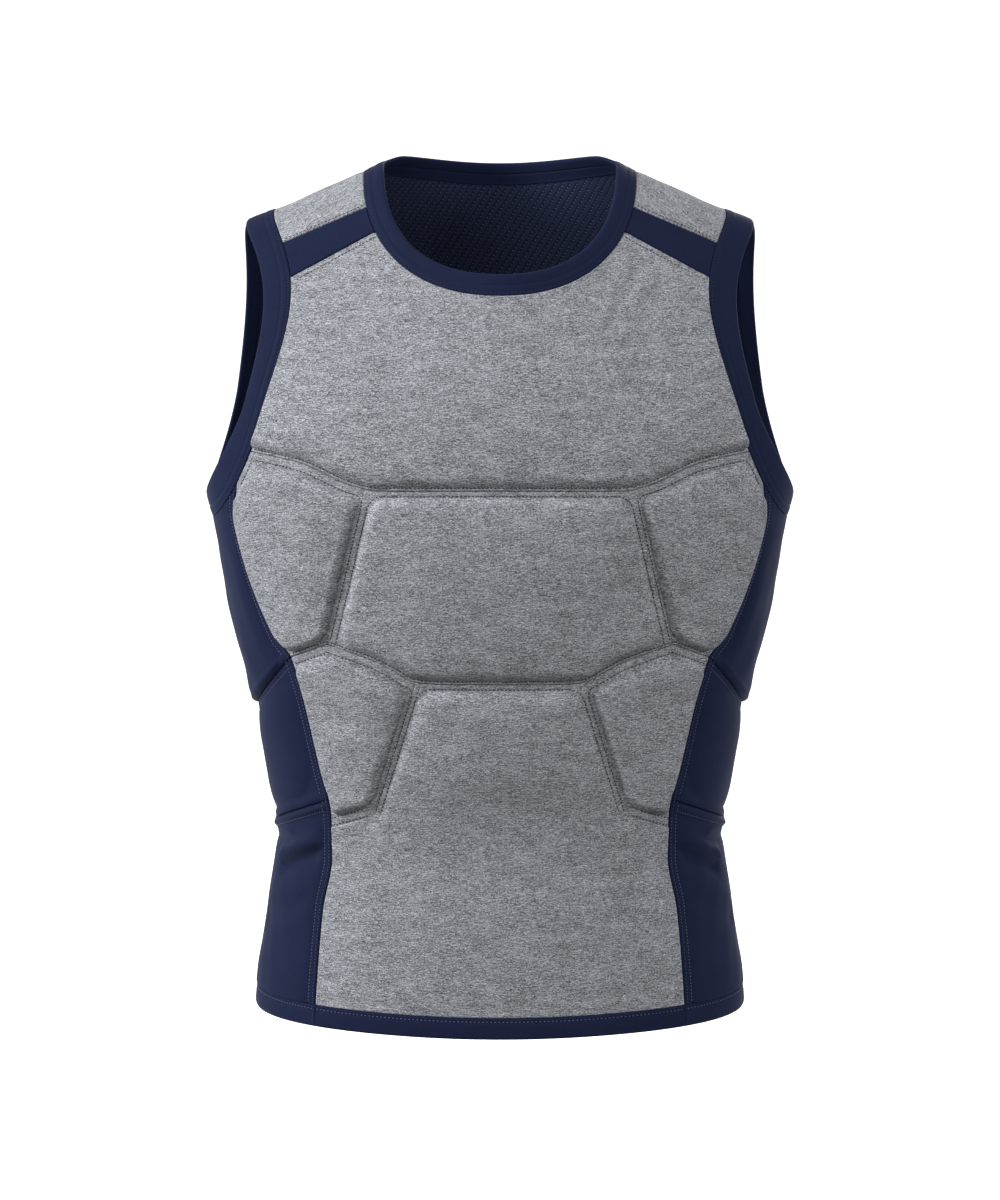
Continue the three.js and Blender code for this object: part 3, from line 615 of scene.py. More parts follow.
    def build(self, u=None, v=None, open_sides=()):
        """The panel's grids of outer and inner points, their heights and cloth coordinates, drawn in from
        its seams but for sides that go on in another grid."""
        u = graded(self.width, self.lines) if u is None else u
        v = graded(self.height, self.lines) if v is None else v
        self.layout = self.flat(u, v)
        points = self.view.onto(self.layout[..., 0], self.layout[..., 1])
        lift = self.relief(points) + self.swell(u, v)
        self.cloth = cloth_lengths(self.view, self.layout)
        draw_in(points, open_sides)
        low = np.minimum(WALL_INNER, lift - FOLD_WALL) if self.folds else np.full(lift.shape, WALL_INNER)
        self.grid = SimpleNamespace(outer=points, inner=points.copy(), high=lift, low=low, cloth=self.cloth)
        return self

    def turn_lips(self):
        """Adds the lips that lie under the neighbours."""
        for side in self.lips:
            add_lip(self.grid, side)
        return self

    def faces(self, flip=False, heights=None, move=MOVE_CLOTH):
        """Outer and inner points and cloth coordinates of the grid, or of its mirror image."""
        g = self.grid
        low, high = (g.low, g.high) if heights is None else heights
        outer = g.outer + outward(g.outer) * np.broadcast_to(high, g.high.shape)[..., None]
        inner = g.inner + outward(g.inner) * np.broadcast_to(low, g.low.shape)[..., None]
        if not flip:
            return outer, inner, g.cloth
        return mirror(outer)[:, ::-1], mirror(inner)[:, ::-1], (g.cloth * FLIP_CLOTH)[:, ::-1] + move


SIDES_OF_GRID = {
    "top": lambda a: a, "low": lambda a: a[::-1],
    "right": lambda a: a.swapaxes(0, 1), "left": lambda a: a.swapaxes(0, 1)[::-1],
}
UNDO_SIDE = {**SIDES_OF_GRID, "left": lambda a: a[::-1].swapaxes(0, 1)}


def add_lip(grid, side):
    """Two more lines along one side of a grid: a step down at the seam, then a lip under the neighbour."""
    lines = {key: SIDES_OF_GRID[side](value).copy() for key, value in vars(grid).items()}
    line, away = lines["outer"][-1], unit(lines["outer"][-1] - lines["outer"][-2])
    lines["inner"][-1] = line - away * LIP.ease
    lines["low"][-1] = LIP.under
    flat = np.ones(len(line))
    cloth = lines["cloth"][-1]
    more = dict(
        outer=[line, line + away * LIP.reach], inner=[line, line + away * LIP.reach],
        high=[flat * LIP.top] * 2, low=[flat * LIP.under] * 2, cloth=[cloth, cloth])
    for key, value in lines.items():
        setattr(grid, key, UNDO_SIDE[side](np.concatenate([value, np.array(more[key])])))


def between(shares, count):
    """Weights that read values on even lines at any shares of the way: cubic through four neighbours."""
    place = np.clip(shares, 0, 1) * (count - 1)
    first = np.clip(place.astype(int), 0, count - 2)
    t = place - first
    weights = np.stack([
        -0.5 * t + t**2 - 0.5 * t**3, 1 - 2.5 * t**2 + 1.5 * t**3,
        0.5 * t + 2 * t**2 - 1.5 * t**3, -0.5 * t**2 + 0.5 * t**3,
    ], 1)
    table = np.zeros((len(place), count))
    rows = np.arange(len(place))
    for k in range(4):
        np.add.at(table, (rows, np.clip(first + k - 1, 0, count - 1)), weights[:, k])
    return table


def blown(points, sewn, pressure):
    """Where the points of a grid go when it is a cloth sewn down by its weights, with pressure behind it
    and no gravity, after 20 frames of simulation."""
    rows, columns = points.shape[:2]
    mesh = bpy.data.meshes.new("swell")
    mesh.from_pydata((points.reshape(-1, 3) * MM).tolist(), [], quads(numbered(rows, columns)).tolist())
    cover = bpy.data.objects.new("swell", mesh)
    scene = bpy.context.scene
    scene.collection.objects.link(cover)
    group = cover.vertex_groups.new(name="sewn")
    for level in np.unique(sewn.round(2)):
        group.add(np.flatnonzero(sewn.round(2) == level).tolist(), float(level), "REPLACE")
    modifier = cover.modifiers.new("swell", "CLOTH")
    cloth = modifier.settings
    cloth.quality, cloth.mass = SWELL_CLOTH.quality, SWELL_CLOTH.mass
    cloth.tension_stiffness = cloth.compression_stiffness = SWELL_CLOTH.stiffness
    cloth.shear_stiffness, cloth.bending_stiffness = SWELL_CLOTH.stiffness, SWELL_CLOTH.bending
    cloth.shrink_min = -SWELL.slack
    cloth.vertex_group_mass = "sewn"
    cloth.use_pressure, cloth.uniform_pressure_force = True, pressure
    cloth.effector_weights.gravity = 0
    modifier.point_cache.frame_start, modifier.point_cache.frame_end = 1, SWELL.frames
    for frame_number in range(1, SWELL.frames + 1):
        scene.frame_set(frame_number)
    final = cover.evaluated_get(bpy.context.evaluated_depsgraph_get()).to_mesh()
    moved = np.empty(len(final.vertices) * 3, np.float32)
    final.vertices.foreach_get("co", moved)
    bpy.data.objects.remove(cover)
    bpy.data.meshes.remove(mesh)
    scene.frame_set(1)
    return moved.reshape(points.shape) / MM


def draw_in(points, open_sides=()):
    """Moves a grid's sides in by the seam gap, towards the next line of the grid."""
    for name, turn in SIDES_OF_GRID.items():
        if name not in open_sides:
            side = turn(points)
            side[-1] += SEAM_GAP * unit(side[-2] - side[-1])


def cloth_lengths(view, flat):
    """Cloth coordinates in millimetres: lengths on the form along the view's two directions, read from
    a table over the panel's flat box."""
    low, high = flat.reshape(-1, 2).min(0), flat.reshape(-1, 2).max(0)
    count = 80
    a, b = (np.linspace(low[k], high[k], count) for k in (0, 1))
    table = view.onto(*np.meshgrid(a, b))
    pad = ((0, 0), (1, 0))
    along = np.cumsum(np.pad(np.linalg.norm(np.diff(table, axis=1), axis=2), pad), 1)
    up = np.cumsum(np.pad(np.linalg.norm(np.diff(table, axis=0), axis=2), pad[::-1]), 0)
    along -= along[:, count // 2, None]
    place = (flat - low) / (high - low) * (count - 1)
    cell = np.clip(place.astype(int), 0, count - 2)
    (s, t), (j, i) = np.moveaxis(place - cell, -1, 0), np.moveaxis(cell, -1, 0)

    def read(values):
        lower = values[i, j] * (1 - s) + values[i, j + 1] * s
        upper = values[i + 1, j] * (1 - s) + values[i + 1, j + 1] * s
        return lower * (1 - t) + upper * t
    return np.stack([read(along), read(up)], -1)


# Meshes
def numbered(rows, columns, start=0):
    """Numbers of a grid's points, row by row."""
    return start + np.arange(rows * columns).reshape(rows, columns)


def quads(ids):
    """Four-cornered faces over a table of point numbers."""
    return np.stack([ids[:-1, :-1], ids[:-1, 1:], ids[1:, 1:], ids[1:, :-1]], -1).reshape(-1, 4)


def rim_faces(faces, under):
    """Faces between the border of a face set and the same border of the set that follows it: the border
    is made of the sides that only one face has."""
    sides = np.stack([faces, np.roll(faces, -1, axis=1)], -1).reshape(-1, 2)
    _, first, count = np.unique(np.sort(sides, axis=1), axis=0, return_index=True, return_counts=True)
    here, ahead = sides[first[count == 1]].T
    return np.stack([ahead, here, here + under, ahead + under], 1)


def make_mesh(name, points, faces, materials, cloth=None, slots=None):
    """A smooth mesh object from millimetre points and faces of four corners, or of three where the last
    corner repeats the first or third, with cloth coordinates and material numbers if it has them."""
    kept = np.ones_like(faces, bool)
    kept[:, 3] = (faces[:, 3] != faces[:, 0]) & (faces[:, 3] != faces[:, 2])
    corners, sides = faces[kept], kept.sum(1)
    mesh = bpy.data.meshes.new(name)
    mesh.vertices.add(len(points))
    mesh.vertices.foreach_set("co", (points * MM).astype(np.float32).ravel())
    mesh.loops.add(len(corners))
    mesh.loops.foreach_set("vertex_index", corners.astype(np.int32))
    mesh.polygons.add(len(faces))
    mesh.polygons.foreach_set("loop_start", (np.cumsum(sides) - sides).astype(np.int32))
    mesh.polygons.foreach_set("use_smooth", np.ones(len(faces), bool))
    for material in materials:
        mesh.materials.append(material)
    if slots is not None:
        mesh.polygons.foreach_set("material_index", slots.astype(np.int32))
    if cloth is not None:
        mesh.uv_layers.new(name="cloth").data.foreach_set("uv", cloth[corners].astype(np.float32).ravel())
    mesh.update(calc_edges=True)
    mesh.validate()
    piece = bpy.data.objects.new(name, mesh)
    bpy.context.scene.collection.objects.link(piece)
    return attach(piece, "root")


def wall(node, outer, inner, cloth, outside, materials, slot):
    """A closed wall standing for a CAD node: its outer points and faces, the inner ones with the last
    material, and the rim between them."""
    count = len(outer)
    faces = np.concatenate([outside, outside[:, ::-1] + count, rim_faces(outside, count)])
    within = np.arange(len(faces)) >= len(outside)
    piece = make_mesh(node + "_cloth", np.concatenate([outer, inner]), faces, materials,
                      np.tile(cloth, (2, 1)), within * (len(materials) - 1))
    piece.data.set_sharp_from_angle(angle=SHARP)
    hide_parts(node)
    return piece


def panel_wall(node, panel, materials, slot, flip=False):
    """The wall of a built panel, or of its mirror image."""
    outer, inner, cloth = panel.faces(flip)
    outside = quads(numbered(*outer.shape[:2]))
    return wall(node, *(a.reshape(-1, a.shape[-1]) for a in (outer, inner, cloth)), outside, materials, slot)


def join_cloth(view, *panels):
    """Cloth coordinates of several grids read from one table, so that the pattern runs on."""
    flat = np.concatenate([panel.layout.reshape(-1, 2) for panel in panels])
    cloth = cloth_lengths(view, np.concatenate([flat, flat * FLIP_CLOTH]))
    start = 0
    for panel in panels:
        shape = panel.layout.shape
        stop = start + shape[0] * shape[1]
        panel.cloth = panel.grid.cloth = cloth[start:stop].reshape(shape)
        start = stop


def joined_wall(node, base, tops, materials, slot, heights=None):
    """One wall over a base grid and further grids (panel, mirrored or not, first column) whose low lines
    are stretches of the base's top line."""
    parts = [base.faces(heights=heights)]
    ids = numbered(*base.grid.high.shape)
    tables, start = [ids], ids.size
    for panel, flip, column in tops:
        rows, columns = panel.grid.high.shape
        fresh = numbered(rows - 1, columns, start)
        tables.append(np.concatenate([ids[-1:, column:column + columns], fresh]))
        parts.append([a[1:] for a in panel.faces(flip, heights, 0.0)])
        start += fresh.size
    points = [np.concatenate([part[k].reshape(-1, part[k].shape[-1]) for part in parts]) for k in range(3)]
    return wall(node, *points, np.concatenate([quads(table) for table in tables]), materials, slot)


# Bands: a folded profile carried along a seam
def opposite(points, opening, bearing):
    """The points of an opening that lie straight across its band from points of the band's seam, by
    halving the turn until the bearings agree."""
    low, high = np.full(len(points), -np.pi), np.full(len(points), np.pi)
    aim = bearing(points)
    for _ in range(HALVINGS):
        turn = (low + high) / 2
        before = bearing(opening(turn)) < aim
        low, high = np.where(before, turn, low), np.where(before, high, turn)
    return opening(low)


BAND_WIDTH = 18.0


def even_profile(rows, count):
    """A closed profile through (share of the width, millimetres more, height) rows, evenly dense."""
    rows = np.array(rows, float)
    ring = np.concatenate([rows, rows[:1]])
    far = lengths(ring * np.array([BAND_WIDTH, 1.0, 1.0]))
    want = np.linspace(0, far[-1], count, endpoint=False)
    return at_places(ring, far, want)


def band(node, seam_run, free_run, profile, materials, closed=False):
    """A band between a seam and a free edge: at each place along it the profile's points lie a share of
    the way across, settled on the form, and stand its height off it."""
    across_way = unit(free_run - seam_run)
    share, more, height = profile.T
    place = seam_run[:, None] + (free_run - seam_run)[:, None] * share[None, :, None]
    place = settle(place + across_way[:, None] * more[None, :, None])
    points = place + outward(place) * height[None, :, None]
    rows, columns = points.shape[:2]
    along = np.broadcast_to(lengths(seam_run)[:, None], (rows, columns))
    over = np.broadcast_to(share * BAND_WIDTH + more, (rows, columns))
    cloth = np.stack([along, over], -1).reshape(-1, 2)
    ids = numbered(rows, columns)
    ids = np.column_stack([ids, ids[:, 0]])
    faces = quads(np.concatenate([ids, ids[:1]]) if closed else ids)
    if not closed:
        caps = np.arange(columns // 2 - 1)
        first = np.stack([caps, caps + 1, columns - 2 - caps, columns - 1 - caps], 1)
        faces = np.concatenate([faces, first, first[:, ::-1] + (rows - 1) * columns])
    piece = make_mesh(node + "_cloth", points.reshape(-1, 3), faces, materials, cloth)
    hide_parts(node)
    return piece


# Stitches
STITCH_REACH, BEND_POINTS = 0.8, 24


def beside(run, away):
    """A run moved on the form by a distance to the left of its way, seen from outside."""
    return settle(run + np.cross(outward(run), unit(np.gradient(run, axis=0))) * away)


def turned(first, then, reach):
    """Two runs made one: both are cut so far from where they come closest, and a parabola joins them."""
    gaps = np.linalg.norm(first[:, None] - then[None], axis=2)
    i, j = np.unravel_index(gaps.argmin(), gaps.shape)
    start, stop = first[:i + 1], then[j:]
    start = start[lengths(start) < lengths(start)[-1] - reach]
    stop = stop[lengths(stop) > reach]
    t = np.linspace(0, 1, BEND_POINTS)[1:-1, None]
    bend = (1 - t) ** 2 * start[-1] + t * (1 - t) * (first[i] + then[j]) + t**2 * stop[0]
    return even(settle(np.concatenate([start, bend, stop])))


def stitch_row(run, away, lift, pitch, size, trim=(1.0, 1.0)):
    """Centres and directions of stitches that lie a distance to the left of a seam's way, seen from
    outside, on the cloth at a height or a function of place, leaving some length free at both ends."""
    shifted = beside(run, away)
    far = lengths(shifted)
    want = np.arange(trim[0] + pitch / 2, far[-1] - trim[1], pitch)
    steps = (0, STITCH_REACH, -STITCH_REACH)
    place, ahead, behind = (at_places(shifted, far, want + step) for step in steps)
    normal = outward(place)
    height = lift(place)[:, None] if callable(lift) else lift
    return SimpleNamespace(
        place=place + normal * height, along=unit(ahead - behind), normal=normal, size=size)


def both_halves(rows):
    """Stitch rows and their mirror images."""
    return rows + [
        SimpleNamespace(place=mirror(r.place), along=mirror(r.along), normal=mirror(r.normal), size=r.size)
        for r in rows
    ]


SIDES, TIP, RING = 6, 0.5, 0.3


def stitches(name, rows, material):
    """Many stitches as one mesh: each is a spindle of two rings and two tips, long along its row."""
    turn = np.arange(SIDES) * FULL / SIDES
    ring = np.stack([np.cos(turn), np.sin(turn)], 1)
    blocks = []
    for row in rows:
        length, wide = row.size
        side = np.cross(row.normal, row.along)
        shape = np.concatenate([
            [[-TIP * length, 0, 0]],
            np.column_stack([np.full(SIDES, -RING * length), ring * wide]),
            np.column_stack([np.full(SIDES, RING * length), ring * wide]),
            [[TIP * length, 0, 0]],
        ])
        axes = np.stack([row.along, side, row.normal], 1)
        blocks.append(row.place[:, None] + np.einsum("vk,skc->svc", shape, axes))
    points = np.concatenate(blocks)
    per = 2 * SIDES + 2
    ahead = (np.arange(SIDES) + 1) % SIDES
    here = np.arange(SIDES)
    tip = np.full(SIDES, 0)
    end = np.full(SIDES, per - 1)
    one = np.concatenate([
        np.stack([tip, 1 + ahead, 1 + here, tip], 1),
        np.stack([1 + here, 1 + ahead, 1 + SIDES + ahead, 1 + SIDES + here], 1),
        np.stack([1 + SIDES + here, 1 + SIDES + ahead, end, end], 1),
    ])
    faces = (one[None] + (np.arange(len(points)) * per)[:, None, None]).reshape(-1, 4)
    return make_mesh(name, points.reshape(-1, 3), faces, (material,))


# Materials
def set_inputs(node, values):
    """Constant values on a shader node's inputs, by their names."""
    for key, value in values.items():
        node.inputs[key].default_value = value


def new_material(name, values):
    """A new material, its node tree and its shader with constant values on it."""
    material = bpy.data.materials.new(name)
    material.use_nodes = True
    shader = material.node_tree.nodes["Principled BSDF"]
    set_inputs(shader, values)
    return material, material.node_tree, shader


def cloth_material(name, roughness, gloss, sheen, sheen_tint):
    return new_material(name, {
        "Roughness": roughness, "Specular IOR Level": gloss, "Sheen Weight": sheen, "Sheen Roughness": 0.45,
        "Sheen Tint": (*sheen_tint, 1),
    })


def add_node(tree, kind, values=None, **settings):
    """A new node with its settings, and constant values on its inputs."""
    node = tree.nodes.new(kind)
    for key, value in settings.items():
        setattr(node, key, value)
    set_inputs(node, values or {})
    return node


def cloth_place(tree, scale, turn=0.0):
    """Cloth coordinates in millimetres, turned and scaled."""
    uv = add_node(tree, "ShaderNodeUVMap", uv_map="cloth")
    mapping = add_node(tree, "ShaderNodeMapping", {"Rotation": (0, 0, turn), "Scale": (*scale, 1)})
    tree.links.new(uv.outputs["UV"], mapping.inputs["Vector"])
    return mapping.outputs["Vector"]


def cloth_noise(tree, grain, detail, roughness=0.6, distortion=0.0):
    """Noise on the cloth coordinates, with grains so many millimetres wide and high."""
    values = {"Scale": 1, "Detail": detail, "Roughness": roughness, "Distortion": distortion}
    noise = add_node(tree, "ShaderNodeTexNoise", values, noise_dimensions="2D")
    tree.links.new(cloth_place(tree, (1 / grain[0], 1 / grain[1])), noise.inputs["Vector"])
    return noise.outputs["Fac"]


def weighted(tree, *terms):
    """The sum of outputs times weights."""
    total = None
    for output, weight in terms:
        step = add_node(tree, "ShaderNodeMath", operation="MULTIPLY_ADD")
        tree.links.new(output, step.inputs[0])
        step.inputs[1].default_value = weight
        if total is None:
            step.inputs[2].default_value = 0
        else:
            tree.links.new(total, step.inputs[2])
        total = step.outputs[0]
    return total


def ramp(tree, value, stops):
    """Colours by value: (position, linear colour) stops."""
    node = add_node(tree, "ShaderNodeValToRGB")
    tree.links.new(value, node.inputs["Fac"])
    elements = node.color_ramp.elements
    while len(elements) < len(stops):
        elements.new(0.5)
    for element, (position, colour) in zip(elements, stops):
        element.position = position
        element.color = (*colour, 1)
    return node.outputs["Color"]


def bump(tree, shader, height, distance, strength):
    node = add_node(tree, "ShaderNodeBump", {"Distance": distance * MM, "Strength": strength})
    tree.links.new(height, node.inputs["Height"])
    tree.links.new(node.outputs["Normal"], shader.inputs["Normal"])


def grey(value):
    """A grey a little towards blue."""
    return (value * 0.97, value, value * 1.09)


def make_marl():
    """Heather-grey knit: short flat streaks of pale and dark fibre, finer flecks, and slow clouding."""
    material, tree, shader = cloth_material("grey_marl_knit", 0.95, 0.1, 0.1, (0.9, 0.92, 1.0))
    streak = cloth_noise(tree, (4.2, 0.66), 3, 0.6, 0.9)
    fleck = cloth_noise(tree, (1.15, 0.6), 1, 0.5, 0.6)
    cloud = cloth_noise(tree, (26, 8), 2)
    mixed = weighted(tree, (streak, 0.48), (fleck, 0.42), (cloud, 0.10))
    stops = [(0.31, 0.045), (0.42, 0.125), (0.5, 0.27), (0.58, 0.46), (0.69, 0.72)]
    shades = ramp(tree, mixed, [(position, grey(value)) for position, value in stops])
    tree.links.new(shades, shader.inputs["Base Color"])
    bump(tree, shader, weighted(tree, (streak, 0.5), (fleck, 0.5)), 0.5, 0.6)
    return material


def make_navy():
    """Smooth navy stretch knit: a faint vertical rib, fine grain and slow change of tone."""
    material, tree, shader = cloth_material("navy_stretch_knit", 0.7, 0.05, 0.02, (0.5, 0.58, 0.85))
    rib = cloth_noise(tree, (0.9, 7), 2)
    grain = cloth_noise(tree, (1.1, 1.1), 1)
    cloud = cloth_noise(tree, (60, 45), 2)
    mixed = weighted(tree, (rib, 0.4), (grain, 0.3), (cloud, 0.3))
    stops = [(0.35, (0.0095, 0.0138, 0.0395)), (0.65, (0.0128, 0.0183, 0.0515))]
    tree.links.new(ramp(tree, mixed, stops), shader.inputs["Base Color"])
    bump(tree, shader, weighted(tree, (rib, 0.6), (grain, 0.4)), 0.2, 0.3)
    return material


def make_mesh_knit():
    """Dark navy mesh: slanting ribs of lighter and darker knit, with a small pale loop at even steps."""
    material, tree, shader = cloth_material("navy_mesh_knit", 0.7, 0.05, 0.03, (0.5, 0.58, 0.85))
    place = cloth_place(tree, (0.171, 0.345), 0.3)
    cells = add_node(tree, "ShaderNodeTexVoronoi", voronoi_dimensions="2D")
    set_inputs(cells, {"Scale": 1, "Randomness": 0.15})
    ribs = add_node(tree, "ShaderNodeTexWave", wave_type="BANDS", bands_direction="X")
    set_inputs(ribs, {"Scale": 0.314, "Distortion": 0.6})
    for pattern in (cells, ribs):
        tree.links.new(place, pattern.inputs["Vector"])
    knit = ramp(tree, ribs.outputs["Fac"], [(0.2, (0.019, 0.026, 0.058)), (0.8, (0.034, 0.045, 0.094))])
    loops = ramp(tree, cells.outputs["Distance"], [(0.04, (1, 1, 1)), (0.1, (0, 0, 0))])
    mix = add_node(tree, "ShaderNodeMix", data_type="RGBA")
    tree.links.new(loops, mix.inputs["Factor"])
    tree.links.new(knit, mix.inputs["A"])
    mix.inputs["B"].default_value = (0.30, 0.33, 0.42, 1)
    tree.links.new(mix.outputs["Result"], shader.inputs["Base Color"])
    height = weighted(tree, (cells.outputs["Distance"], -1.0), (ribs.outputs["Fac"], 0.4))
    bump(tree, shader, height, 0.6, 0.6)
    return material


def make_thread(name, colour):
    """Sewing thread: a plain colour with a twist of lighter and darker ply."""
    material, tree, shader = cloth_material(name, 0.7, 0.1, 0.1, (1, 1, 1))
    place = add_node(tree, "ShaderNodeTexCoord")
    noise = add_node(tree, "ShaderNodeTexNoise", {"Scale": 1500})
    tree.links.new(place.outputs["Object"], noise.inputs["Vector"])
    shade = [(0.3, tuple(0.75 * c for c in colour)), (0.7, tuple(1.25 * c for c in colour))]
    tree.links.new(ramp(tree, noise.outputs["Fac"], shade), shader.inputs["Base Color"])
    return material


MARL, NAVY, MESH = make_marl(), make_navy(), make_mesh_knit()
# Grey thread painted dark: its colour also carries painted shade, standing in for the shadow of the needle
# holes beside each stitch on the grey cloth
GREY_THREAD_PAINTED_SHADE = make_thread("grey_thread_painted_shade", (0.045, 0.047, 0.056))
PALE_THREAD = make_thread("pale_navy_thread", (0.12, 0.13, 0.215))
DULL_THREAD = make_thread("dull_navy_thread", (0.068, 0.075, 0.135))
NAVY_THREAD = make_thread("navy_thread", (0.024, 0.03, 0.066))

# Foam heights, margins and stitch rows in millimetres
FOAM = SimpleNamespace(chest=5.0, upper=6.2, lower=6.2, belly=4.2)
SIDE_FOAM = SimpleNamespace(upper=3.8, middle=3.2, lower=1.2)
PRESSURE = 4.0
ROW_ABOVE, ROW_BELOW, ROW_SLOPE, ROW_ARM = 2.3, 3.7, 5.6, 4.6
MARGIN_ABOVE, MARGIN_BELOW, MARGIN_SLOPE, MARGIN_SIDE = 3.0, 4.7, 6.6, 1.2
# Sewn channels: the outer pad's margin, then the stitch rows and the margin of the strip on the inner side
UPPER_SEWN = SimpleNamespace(outer=1.3, rows=(2.2, 6.8), inner=8.0)
LOWER_SEWN = SimpleNamespace(outer=2.8, rows=(1.2, 5.0), inner=6.2)
FOOT_SEWN = SimpleNamespace(rows=(1.0, 6.4), margin=7.4)
CHANNEL_GROOVE, CHANNEL_CREASE, ABOVE_CREASE = 0.12, 0.7, 0.25
PAD_CORNER, PAD_BEVEL = 8.0, 5.8
STRIP_ROWS = (2.2, 4.7)
SIDE_ROWS = (2.4, 6.2)
ACROSS_ROWS = SimpleNamespace(upper=4.6, lower=6.6)
SIDE_MARGIN = 7.2
ACROSS_MARGIN = SimpleNamespace(over_upper=0.8, under_upper=5.6, over_lower=8.0, under_lower=8.5)
ACROSS_ROLL = SimpleNamespace(over_upper=1.8, over_lower=1.4, under_lower=2.6)
SIDE_BEVEL = SimpleNamespace(upper=13, middle=24, lower=9)
FOOT_GROOVE = 0.4
CHEST_SHARES, SHOULDER_SHARES = (4, 14, 4), (4, 10, 4)
# Heights between which foam or swelling fades, from none to full
CHEST_FADE, SIDE_FADE = (-40, -200), (-225, -320)
BELLY_FADE, BELLY_SWELL = (-505, -395), (-456, -420)
# Soft folds of the lower side panel as turn and height of both ends, size and reach
SIDE_FOLDS = [
    (1.28, -499, 1.08, -485.5, 4.2, 7.5),
    (1.25, -479, 1.95, -484, 1.5, 7.0),
    (1.38, -538, 1.15, -524, 1.0, 10.0),
]
# Folds of the chest beside the neck band, as x and z of both ends, size and reach
CHEST_FOLDS = [
    (s * x_a, z_a, s * x_b, z_b, size, reach)
    for x_a, z_a, x_b, z_b, size, reach in ((96, -56, 78, -92, 0.7, 6.0), (112, -66, 90, -108, 0.5, 7.0))
    for s in (1, -1)
]


def chest():
    """Front above the yoke seam; its foam swells at the lower edge and fades out towards the shoulders."""
    low = edge(mirror(yoke.side)[::-1], yoke.middle, yoke.side, shares=CHEST_SHARES)
    top = edge(mirror(strip.low)[::-1], neck.front, strip.low, shares=CHEST_SHARES)
    left, right = edge(mirror(arm.chest)[::-1]), edge(arm.chest[::-1])
    borders = [
        border(low[:, 1:], MARGIN_ABOVE, (ROW_ABOVE,), crease=ABOVE_CREASE),
        *both_borders(arm.chest), border(neck.front), *both_borders(strip.low, rows=STRIP_ROWS),
    ]
    return Panel(FRONT, low, top, left, right, borders, FOAM.chest, uneven=0.25, seed=3, blow=PRESSURE,
                 fade=CHEST_FADE, folds=CHEST_FOLDS)


def centre_pad():
    low = edge(mirror(waist.slope), waist.middle[::-1], waist.slope[::-1], shares=(3, 8, 3))
    borders = [
        border(low[:, 1:], MARGIN_ABOVE, (ROW_ABOVE,), crease=ABOVE_CREASE),
        border(yoke.middle, MARGIN_BELOW, (ROW_BELOW,)),
        *both_borders(channel.upper, UPPER_SEWN.inner, UPPER_SEWN.rows, CHANNEL_GROOVE),
    ]
    return Panel(FRONT, low, edge(yoke.middle), edge(mirror(channel.upper)[::-1]), edge(channel.upper[::-1]),
                 borders, FOAM.upper, blow=PRESSURE, seed=4, lips="top")


def upper_pad():
    borders = [
        border(waist.side, MARGIN_ABOVE, (ROW_ABOVE,), crease=ABOVE_CREASE),
        border(yoke.side, MARGIN_SLOPE, (ROW_SLOPE,)),
        border(channel.upper, UPPER_SEWN.outer, (), CHANNEL_GROOVE, CHANNEL_CREASE),
        border(front_seam.upper, MARGIN_SIDE),
        border(arm.upper, MARGIN_SLOPE, (ROW_ARM,)),
    ]
    return Panel(FRONT, edge(waist.side[::-1]), edge(yoke.side), edge(channel.upper[::-1]),
                 edge(front_seam.upper[::-1], arm.upper[::-1], shares=(4, 1)), borders, FOAM.upper,
                 bevel=PAD_BEVEL, corner=PAD_CORNER, blow=PRESSURE, seed=5, lips="top left")


def lower_pad():
    borders = [
        border(channel.foot, FOOT_SEWN.margin, FOOT_SEWN.rows, CHANNEL_GROOVE, CHANNEL_CREASE),
        border(waist.side, MARGIN_SLOPE, (ROW_SLOPE,)),
        border(waist.slope, MARGIN_SLOPE, (ROW_SLOPE,)),
        border(channel.lower, LOWER_SEWN.outer, (), CHANNEL_GROOVE, CHANNEL_CREASE),
        border(front_seam.middle, MARGIN_SIDE),
        border(front_seam.foot, MARGIN_SIDE),
    ]
    return Panel(FRONT, edge(channel.foot), edge(waist.slope[::-1], waist.side[::-1], shares=(3, 4)),
                 edge(channel.lower[::-1]),
                 edge(front_seam.foot[::-1], front_seam.middle[::-1], shares=(1, 4)),
                 borders, FOAM.lower, bevel=PAD_BEVEL, corner=PAD_CORNER, blow=PRESSURE, seed=6,
                 lips="low top left")


def belly_parts():
    """Front below the waist seam in two grids that share points, between the channels and below the pads:
    foam along the waist and the channels, flat towards the hem."""
    line = straight(mirror(pad_corner), pad_corner)
    borders = [
        border(hem_top.front),
        border(waist.middle, MARGIN_BELOW, (ROW_BELOW,)),
        *both_borders(channel.lower, LOWER_SEWN.inner, LOWER_SEWN.rows, CHANNEL_GROOVE),
        *both_borders(channel.foot, groove=FOOT_GROOVE), *both_borders(front_seam.lower),
    ]
    shares = [lengths(run)[-1] for run in (channel.foot, line, channel.foot)]
    top = edge(mirror(channel.foot)[::-1], line, channel.foot, shares=shares)
    lower = Panel(FRONT, edge(hem_top.front[::-1]), top, edge(mirror(front_seam.lower)[::-1]),
                  edge(front_seam.lower[::-1]), borders, FOAM.belly,
                  uneven=0.2, seed=7, fade=BELLY_FADE)
    upper = Panel(FRONT, edge(line), edge(waist.middle[::-1]), edge(mirror(channel.lower)[::-1]),
                  edge(channel.lower[::-1]), borders, FOAM.belly, uneven=0.2, seed=7, fade=BELLY_FADE,
                  blow=PRESSURE, blow_fade=BELLY_SWELL, lips="top")
    foot_u, line_u = graded(shares[0]), graded(shares[1])
    ends = np.cumsum(shares) / sum(shares)
    lower.build(in_three(ends, foot_u, line_u))
    upper.build(line_u, open_sides=("low",))
    join_cloth(FRONT, lower, upper)
    upper.turn_lips()
    return lower, upper, len(foot_u) - 1


